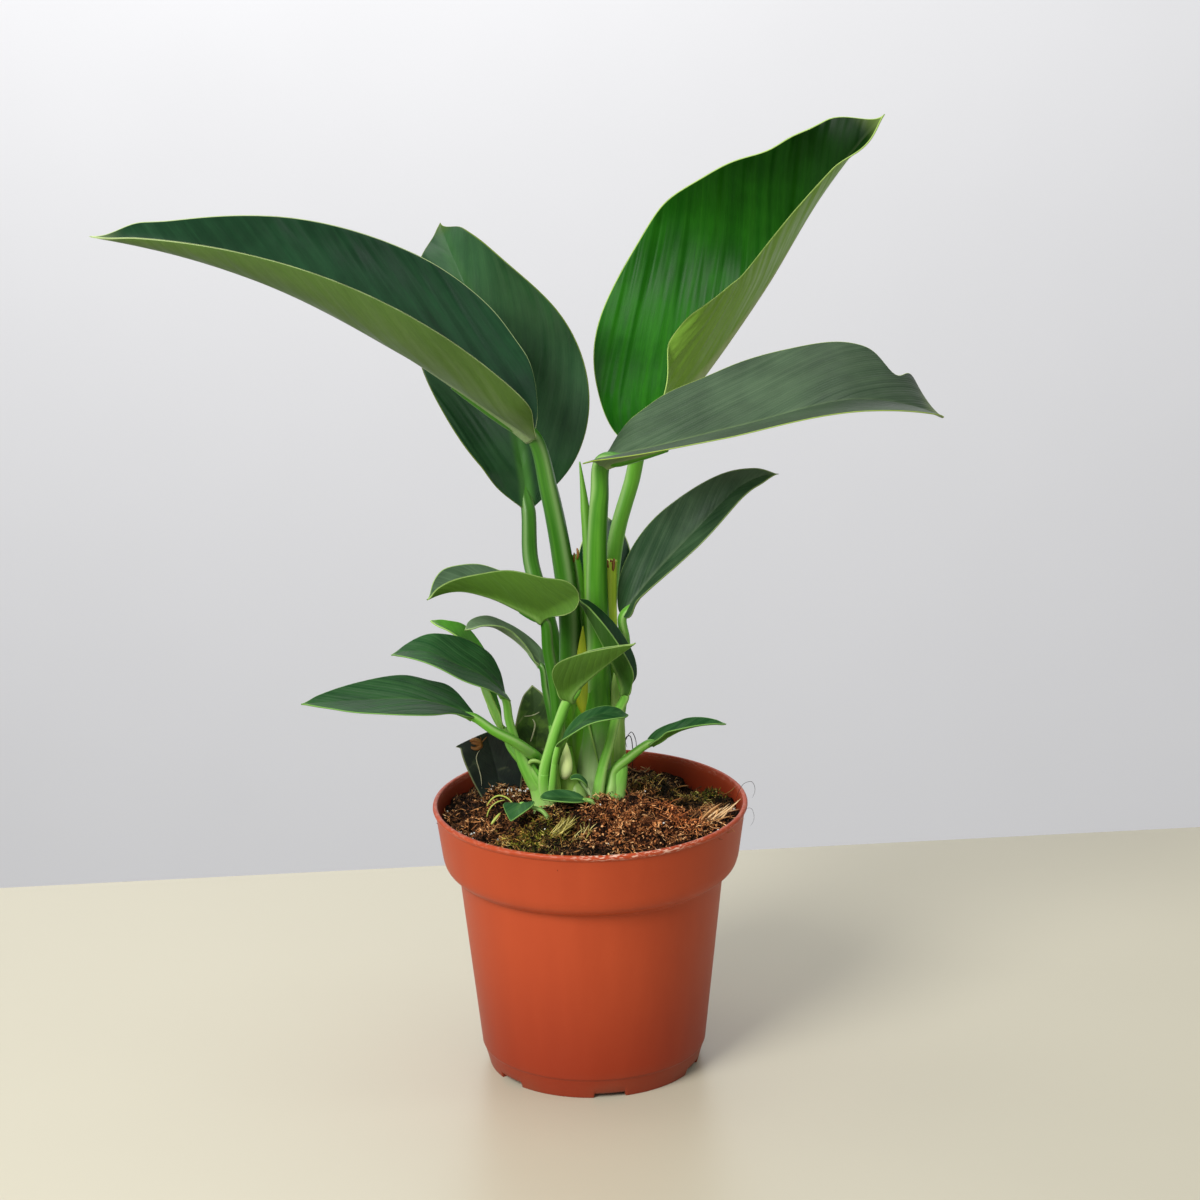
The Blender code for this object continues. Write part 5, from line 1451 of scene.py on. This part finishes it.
def lie_on_peat(count, seed, centre=(0.0, 0.0), spread=None):
    """Random places on the soil: even over the disc, or gathered round a centre."""
    dice = np.random.default_rng(seed)
    if spread is None:
        radius = (soil_edge - EDGE_GAP) * np.sqrt(dice.uniform(0, 1, count))
        turn_by = dice.uniform(0, FULL_TURN, count)
        x, y = radius * np.cos(turn_by), radius * np.sin(turn_by)
    else:
        x, y = np.array(centre)[:, None] + np.array(spread)[:, None] * dice.normal(0, 1, (2, count))
        shrink = np.minimum(1, (soil_edge - EDGE_GAP) / np.maximum(np.hypot(x, y), 1e-6))
        x, y = x * shrink, y * shrink
    return np.stack([x, y, peat_height(x, y)], 1), dice


def exposure(places):
    """Painted shade: how bright a part is, in proportion to the lump or hollow under it, between two limits."""
    light = FLAT_LIGHT + LIGHT_PER_LUMP * peat_lumps(places[:, 0], places[:, 1])
    return np.clip(light, DIMMEST, BRIGHTEST)


def many(points, blocks, tones):
    """Shells of equal size as one: points (parts, corners, 3), and faces of the first part for each block."""
    count, size = points.shape[:2]
    first = (np.arange(count) * size)[:, None, None]
    faces = [(block[None] + first).reshape(-1, block.shape[1]) for block in blocks]
    fields = dict(tone=np.repeat(tones, size)[:, None])
    return dict(points=points.reshape(-1, 3), faces=faces, fields=fields, look=0)


trial, _ = lie_on_peat(500, 1)
print("light on the soil from", round(exposure(trial).min(), 2), "to", round(exposure(trial).max(), 2))

# %% [markdown]
# ## Fibres
# A fibre is a thin tube with a few rings. It leaves its place in some direction and turns a little with every
# step, some more and some less, and it thins toward both ends.

# %% Fibre helpers
END_THINNING, PRESSED_IN, HEADING_SPREAD = 0.75, 0.1, 0.14
NO_FIBRES_WAY = (0.31, 0.22, 0.92)


def bent_fibres(starts, headings, lengths, radii, tones, curl, dice, rings, sides):
    """Many thin tubes at once: each heading turns steadily by its own curl while the path goes on."""
    count = len(starts)
    step = np.linspace(0, 1, rings)
    across = unit(np.cross(headings, dice.normal(0, 1, (count, 3))))
    bend = (curl * dice.normal(0, 1, (count, 1)) * step)[..., None]
    toward = headings[:, None] * np.cos(bend) + across[:, None] * np.sin(bend)
    stride = (lengths / (rings - 1))[:, None, None] * toward[:, :-1]
    path = starts[:, None] + np.pad(np.cumsum(stride, axis=1), ((0, 0), (1, 0), (0, 0)))
    side = unit(np.cross(toward, NO_FIBRES_WAY))
    upper_side = np.cross(side, toward)
    turn_by = np.linspace(0, FULL_TURN, sides, endpoint=False)[:, None]
    width = (radii[:, None] * (1 - END_THINNING * np.abs(2 * step - 1) ** 3))[..., None, None]
    ring = np.cos(turn_by) * side[:, :, None] + np.sin(turn_by) * upper_side[:, :, None]
    points = (path[:, :, None] + width * ring).reshape(count, -1, 3)
    quads, _ = ring_faces(rings, sides)
    order = np.arange(sides)
    caps = np.stack([order[::-1], (rings - 1) * sides + order])
    if signed_volume(points[0] - starts[0], np.concatenate([quads[:, :3], quads[:, [0, 2, 3]]])) < 0:
        quads, caps = quads[:, ::-1], caps[:, ::-1]
    return many(points, [quads, caps], tones)


def strewn(
    count, seed, length, radius, tone, curl=1.0, rise=0.4, lift=0.6, centre=(0, 0), spread=None, heading=None,
    rings=5, sides=3,
):
    """Fibres on the peat: even lengths and radii between two numbers, and tones spread by a beta curve."""
    starts, dice = lie_on_peat(count, seed, centre, spread)
    starts[:, 2] += dice.uniform(-PRESSED_IN, lift, count)
    turn_by = dice.uniform(0, FULL_TURN, count)
    headings = unit(np.stack([np.cos(turn_by), np.sin(turn_by), rise * dice.normal(0, 1, count)], 1))
    if heading is not None:
        headings = unit(unit(np.array(heading, float)) + HEADING_SPREAD * dice.normal(0, 1, (count, 3)))
    lengths, radii = dice.uniform(*length, count), dice.uniform(*radius, count)
    tones = dice.beta(*tone, count) * exposure(starts)
    return bent_fibres(starts, headings, lengths, radii, tones, curl, dice, rings, sides)


# %% [markdown]
# ## Crumbs and grains
# Crumbs of peat and the white grains of perlite are small lumps. Each is an icosahedron, a solid with twelve
# corners and twenty faces, whose corners are pushed in or out by chance.

# %% Crumb helpers
CORNERS = 12
CORNER_PUSH, AXIS_STRETCH = (0.6, 1.2), (0.6, 1.3)


def crumbs(places, sizes, tones, dice):
    """Many small lumps at once: the twelve corners of an icosahedron, each pushed in or out by chance."""
    golden = (1 + math.sqrt(5)) / 2
    base = [(0, a, b * golden) for a in (-1, 1) for b in (-1, 1)]
    corners = unit(np.array(base + [(y, z, x) for x, y, z in base] + [(z, x, y) for x, y, z in base], float))
    apart = np.linalg.norm(corners[:, None] - corners[None], axis=2)
    joined = apart < 1.05 * apart[apart > 0.1].min()
    triples = [(i, j, k) for i in range(CORNERS) for j in range(i) for k in range(j)]
    faces = np.array([(i, j, k) for i, j, k in triples if joined[i, j] and joined[j, k] and joined[i, k]])
    inward = np.linalg.det(corners[faces]) < 0
    faces[inward] = faces[inward, ::-1]
    count = len(places)
    push = dice.uniform(*CORNER_PUSH, (count, CORNERS, 1)) * dice.uniform(*AXIS_STRETCH, (count, 1, 3))
    return many(places[:, None] + sizes[:, None, None] * corners * push, [faces], tones)


def strewn_crumbs(count, seed, lift, size, tone, centre=(0, 0), spread=None, shaded=False):
    """Lumps on the peat, with even sizes between two numbers and tones spread by a beta curve."""
    starts, dice = lie_on_peat(count, seed, centre, spread)
    sizes, tones = dice.uniform(*size, count), dice.beta(*tone, count)
    return crumbs(starts + (0, 0, lift), sizes, tones * (exposure(starts) if shaded else 1), dice)


# %% [markdown]
# ## Strewing the soil
# Each call below names a number of parts, a seed, the ranges of their lengths and thicknesses, and the two
# numbers that spread their tones. Then come how far they curl, stand up and lie above the ground, and for a
# patch its middle and its width. The straw and one group of wood strips also keep to a direction. Crumbs
# have their height above the ground first, then one range of sizes.

# %% Peat fibres
TANGLES = {
    "peat_fibres": ("peat fibre", [
        strewn(9000, 11, (0.8, 3.0), (0.06, 0.14), (0.9, 1.1), 2.0, 0.5, 1.0, rings=4),
    ]),
    "peat_curls": ("peat fibre", [
        strewn(2600, 12, (1.2, 2.6), (0.09, 0.2), (0.8, 0.9), 3.0, 0.6, 1.6, (13, -26), (10.5, 8.0)),
        strewn(900, 13, (1.2, 2.6), (0.09, 0.18), (1.2, 2.0), 3.0, 0.6, 1.2, (22, 8), (6.0, 6.0)),
        strewn(1000, 14, (1.0, 2.2), (0.08, 0.16), (1.2, 2.0), 3.0, 0.6, 1.0, (-30, -8), (11.0, 14.0)),
    ]),
    "peat_strands": ("peat fibre", [
        strewn(520, 15, (3.0, 7.0), (0.08, 0.18), (1.6, 1.6), 1.2, 0.25, 1.0, rings=8),
        strewn(90, 16, (4.0, 8.0), (0.12, 0.24), (2.0, 1.0), 0.8, 0.3, 1.4, (30, -18), (8.0, 6.0), rings=8),
    ]),
    "moss_tufts": ("moss", [
        strewn(1100, 17, (0.7, 1.8), (0.06, 0.12), (1.2, 1.8), 1.6, 1.2, 1.0, (-17, -30), (6.5, 5.5)),
        strewn(420, 18, (0.8, 2.0), (0.06, 0.12), (1.1, 2.4), 1.6, 1.2, 1.4, (40, 13), (2.6, 2.6)),
        strewn(500, 19, (0.7, 1.8), (0.06, 0.12), (1.1, 2.6), 1.6, 1.2, 1.2, (24, 9), (5.0, 5.0)),
    ]),
    "straw_bundle": ("straw", [
        strewn(
            90, 20, (5.0, 9.5), (0.10, 0.2), (1.4, 1.2), 0.25, 0.3, 1.6, (-11.2, -34.5), (1.0, 0.9),
            (7.5, 9.5, 4.4),
        ),
        strewn(16, 21, (3, 6), (0.10, 0.18), (3.0, 1.0), 0.8, 0.3, 1.6, (-3.5, -36), (1.6, 1.4), (3, 8, 3)),
        strewn(30, 30, (1.5, 3.5), (0.07, 0.14), (2.5, 1.5), 1.2, 0.4, 1.0, (-22, -22), (12.0, 9.0)),
    ]),
    "wood_strips": ("wood strips", [
        strewn(
            46, 22, (7.0, 14.0), (0.16, 0.36), (2.6, 1.2), 0.25, 0.3, 1.4, (37, -17), (2.0, 1.6),
            (9, 13, 2.2), rings=6, sides=5,
        ),
        strewn(40, 23, (2.5, 6.0), (0.14, 0.3), (2.0, 1.5), 0.6, 0.3, 1.2, sides=4),
    ]),
    "peat_crumbs": ("peat fibre", [
        strewn_crumbs(3600, 24, 0.2, (0.16, 0.5), (1.2, 2.0), shaded=True),
        strewn_crumbs(1500, 25, 0.5, (0.2, 0.55), (0.8, 1.1), (14, -26), (11, 8)),
    ]),
}
for name, (look, parts) in TANGLES.items():
    settle(make_piece(name, parts, [EARTHS[look]]), "peat")

PERLITE_SPOTS = (
    (30, 26, (-26, 4), (3.4, 2.0)), (16, 27, (-42, -19), (3.0, 2.4)), (26, 28, (0, -10), (26, 20)),
)
PERLITE_SIZES, PERLITE_TONES, PERLITE_LIFT = (0.18, 0.48), (0.3, 1), 1.1
grains = []
for count, seed, centre, spread in PERLITE_SPOTS:
    starts, dice = lie_on_peat(count, seed, centre, spread)
    sizes, tones = dice.uniform(*PERLITE_SIZES, count), dice.uniform(*PERLITE_TONES, count)
    grains.append(crumbs(starts + (0, 0, PERLITE_LIFT), sizes, tones, dice))
settle(make_piece("perlite_grains", grains, [EARTHS["perlite"]]), "peat")

# %% [markdown]
# ## Threads, runners and root hairs
# The thinnest parts are lines of their own. Dry threads hang on the two cut stalks, a pale seam and a curled
# dead end finish the old leaves, three runners arch over the soil, and fine root hairs loop above it. Each is
# a smooth path with a radius that tapers to both ends.

# %% Threads
THREAD_SIDES, THREAD_STEPS, THREAD_FACING = 8, 14, (0.1, -1, 0.2)
THREADS = {
    "stub_ends": ("stem", OLD["dry"], (
        ([(7.4, 3.9, 171.2), (7.2, 3.8, 172.8), (7.0, 4.2, 174.2)], 0.45),
        ([(8.8, 3.7, 170.6), (9.0, 3.6, 172.6), (9.2, 4.0, 174.8)], 0.5),
        ([(8.2, 4.0, 172.4), (8.3, 4.0, 173.4), (8.0, 4.6, 174.2)], 0.4),
        ([(-3.0, 5.2, 174.2), (-2.6, 4.8, 176.0), (-2.9, 5.0, 178.2)], 0.45),
        ([(-4.0, 5.2, 173.4), (-3.8, 5.0, 175.2), (-3.9, 5.2, 176.6)], 0.35),
    )),
    "old_leaf_lines": ("old_leaf", OLD["edge"], (
        ([(-41.3, 9.8, 105.7), (-39.6, 10.2, 100.9), (-37.8, 10.6, 96.8), (-36.2, 10.8, 93)], 0.3),
        ([(-36.6, 10, 106.8), (-37.8, 10, 104.3), (-37.2, 10, 100.9), (-36.5, 10.2, 97.5),
          (-36.3, 10.4, 94)], 0.16),
        ([(-23.4, 5.6, 120.6), (-21.2, 5.6, 120.1), (-18.6, 5.6, 120.4), (-16.4, 5.6, 121.5)], 0.16),
        ([(-18.7, 5.6, 119), (-17.9, 5.6, 117.2), (-18.4, 5.6, 114.5), (-19.5, 5.6, 111.2)], 0.26),
    )),
    "old_leaf_curl": ("old_leaf", OLD["dry"], (
        ([(-39.7, 10, 110), (-38.5, 9.6, 110.8), (-36.6, 9.6, 110), (-36.3, 10, 108.3), (-38, 9.6, 107.6),
          (-39.5, 10, 108.2)], 0.75),
        ([(-39.4, 10.4, 109.4), (-38.2, 10, 109.6), (-37, 10, 109), (-37.4, 10, 108.2)], 0.8),
        ([(-36.3, 10, 111.6), (-36.1, 10, 110.4), (-36.4, 10, 109)], 0.16),
        ([(-34.1, 10.2, 111.5), (-35, 10, 110.6), (-36, 10, 109.4)], 0.18),
        ([(-41.2, 10, 107), (-39.8, 10, 107.6), (-38.4, 10, 107.2)], 0.4),
    )),
    "runners": ("peat", STALKS["golden"], (
        ([(-34, -16, 96.5), (-32, -15.5, 99), (-30, -15.2, 99.8), (-27.5, -15.5, 99.2),
          (-25, -17, 97)], 0.28),
        ([(-34, -17, 93), (-33.2, -16.5, 95.4), (-31, -16, 97.6), (-28, -15.8, 98.4)], 0.22),
        ([(-32.6, -17.5, 90.6), (-31.6, -16.8, 91.8), (-29.6, -15.6, 93.8)], 0.5),
    )),
    "root_hairs": ("peat", EARTHS["peat fibre"], (
        ([(47.5, -8, 90), (49, -9, 97), (51, -9.5, 100.5), (53.5, -9.5, 101), (54.5, -9.5, 98.5),
          (53.6, -9.5, 95.5)], 0.07),
        ([(50, -12, 91.5), (53, -13, 93), (54, -13.5, 90), (52.8, -13.5, 87)], 0.05),
        ([(14, 10, 98), (14.5, 10, 107), (13.6, 10, 111), (12.4, 10, 110.5), (12.6, 10, 107)], 0.16),
        ([(11.5, 11, 100), (12, 11, 108.5), (14.2, 11, 112), (15.6, 11, 109), (15.4, 11, 104)], 0.13),
    )),
}
for name, (slot_name, look, lines) in THREADS.items():
    shells = []
    for points, radius in lines:
        path = smooth_path(points, THREAD_STEPS * len(points))
        taper = np.sqrt(np.clip(1.15 - np.linspace(-1, 1, len(path)) ** 2, 0.05, 1))
        shells.append(tube_shell(path, radius * taper, THREAD_FACING, THREAD_SIDES))
    settle(make_piece(name, shells, [look]), slot_name)

# %% [markdown]
# ## The table and the wall
# The photograph has a pale beige table and a plain grey-white wall far behind it. The table's back edge is a
# straight line in the picture, and two pixels of it, sent along the camera's rays down to the table's height,
# give its place. Neither is part of the object.

# %% Stage
TABLE_EDGE_PIXELS = ((0, 888), (1200, 827))
TABLE_HALF, TABLE_DEPTH, TABLE_THICK = 1900.0, 2600.0, 30.0
WALL_AT, WALL_HALF, WALL_THICK = 2600.0, (3200.0, 2600.0), 20.0


def on_table(pixel):
    """The point of the table that the camera sees at a pixel: its ray followed down to z = 0."""
    across, down = (np.array(pixel) - PICTURE_SIZE / 2) / FOCAL_PIXELS
    toward = forward + across * picture_right - down * picture_up
    return CAMERA_AT - toward * CAMERA_AT[2] / toward[2]


def stage_slab(name, corners, thickness_way, colour, roughness):
    """A flat slab, the four corners and the same four moved by its thickness, in slightly cloudy paint."""
    points = np.concatenate([corners, corners + thickness_way])
    faces = [[0, 1, 2, 3], [7, 6, 5, 4]] + [[i, i + 4, (i + 1) % 4 + 4, (i + 1) % 4] for i in range(4)]
    mesh = bpy.data.meshes.new(name)
    mesh.from_pydata(in_world(points), [], faces)
    paint = bpy.data.materials.new(name + " paint")
    paint.use_nodes = True
    clouds = grain(place(paint.node_tree), EVEN, 6.0, 2.0).ease(0.2, 0.8, 0.985, 1.0)
    shader = paint.node_tree.nodes["Principled BSDF"]
    painted = blend(1.0, colour, clouds.grey(), "MULTIPLY")
    paint.node_tree.links.new(painted.socket, shader.inputs["Base Color"])
    shader.inputs["Roughness"].default_value = roughness
    mesh.materials.append(paint)
    made = bpy.data.objects.new(name, mesh)
    bpy.context.scene.collection.objects.link(made)


edge_left, edge_right = (on_table(pixel) for pixel in TABLE_EDGE_PIXELS)
edge_way = unit(edge_right - edge_left)
edge_front = np.array((edge_way[1], -edge_way[0], 0))
back_edge = (edge_left + edge_right) / 2 + np.array([[-TABLE_HALF], [TABLE_HALF]]) * edge_way
table_corners = np.concatenate([back_edge + TABLE_DEPTH * edge_front, back_edge[::-1]])
wall_sides = np.array([(-1, 0, -1), (1, 0, -1), (1, 0, 1), (-1, 0, 1)]) * (WALL_HALF[0], 0, WALL_HALF[1])
stage_slab("table", table_corners, (0, 0, -TABLE_THICK), (193, 187, 165), 0.38)
stage_slab("wall", wall_sides + (0, WALL_AT, 0), (0, WALL_THICK, 0), (226, 226, 228), 0.9)
print("table edge runs", [round(number, 3) for number in edge_way])

# %% [markdown]
# ## Light
# One softbox stands at the left and in front, above the plant, because the pot is brighter on its left and
# its soft shadow falls to the right and backward. Its beam is narrowed, so that it lights the table less far
# around. A panel overhead and an even pale surrounding fill the shadows, a small cool light at the right
# edges the leaves there, and a separate light washes the wall.

# %% Lights
SKY_STRENGTH = 0.46


def softbox(name, at, aim, size, watts, colour=(1.0, 1.0, 1.0), spread=180):
    """A square area light at one point that faces another, both in metres; its spread is in degrees."""
    data = bpy.data.lights.new(name, "AREA")
    data.shape, data.size, data.energy, data.color = "SQUARE", size, watts, colour
    data.spread = math.radians(spread)
    made = bpy.data.objects.new(name, data)
    bpy.context.scene.collection.objects.link(made)
    back = unit(np.array(at, float) - np.array(aim, float))
    side = unit(np.cross((0.0, 0.0, 1.0), back))
    matrix = np.eye(4)
    matrix[:3, :3] = np.stack([side, np.cross(back, side), back], 1)
    matrix[:3, 3] = at
    made.matrix_world = Matrix(matrix.tolist())


softbox("key", (-0.80, -1.06, 1.06), (-0.24, 0.0, 0.08), 0.75, 6.5, spread=80)
softbox("top", (-0.14, 0.1, 1.6), (0.0, 0.0, 0.15), 0.6, 4)
softbox("side", (0.97, -0.22, 1.05), (-0.05, 0.0, 0.25), 0.28, 0.8, (0.9, 0.97, 1.0))
softbox("wall_wash", (-0.4, 0.9, 1.2), (-0.4, 2.6, 1.55), 0.8, 54)
world = bpy.data.worlds.new("studio")
world.use_nodes = True
world.node_tree.nodes["Background"].inputs["Color"].default_value = (1.0, 1.0, 1.0, 1.0)
world.node_tree.nodes["Background"].inputs["Strength"].default_value = SKY_STRENGTH
bpy.context.scene.world = world
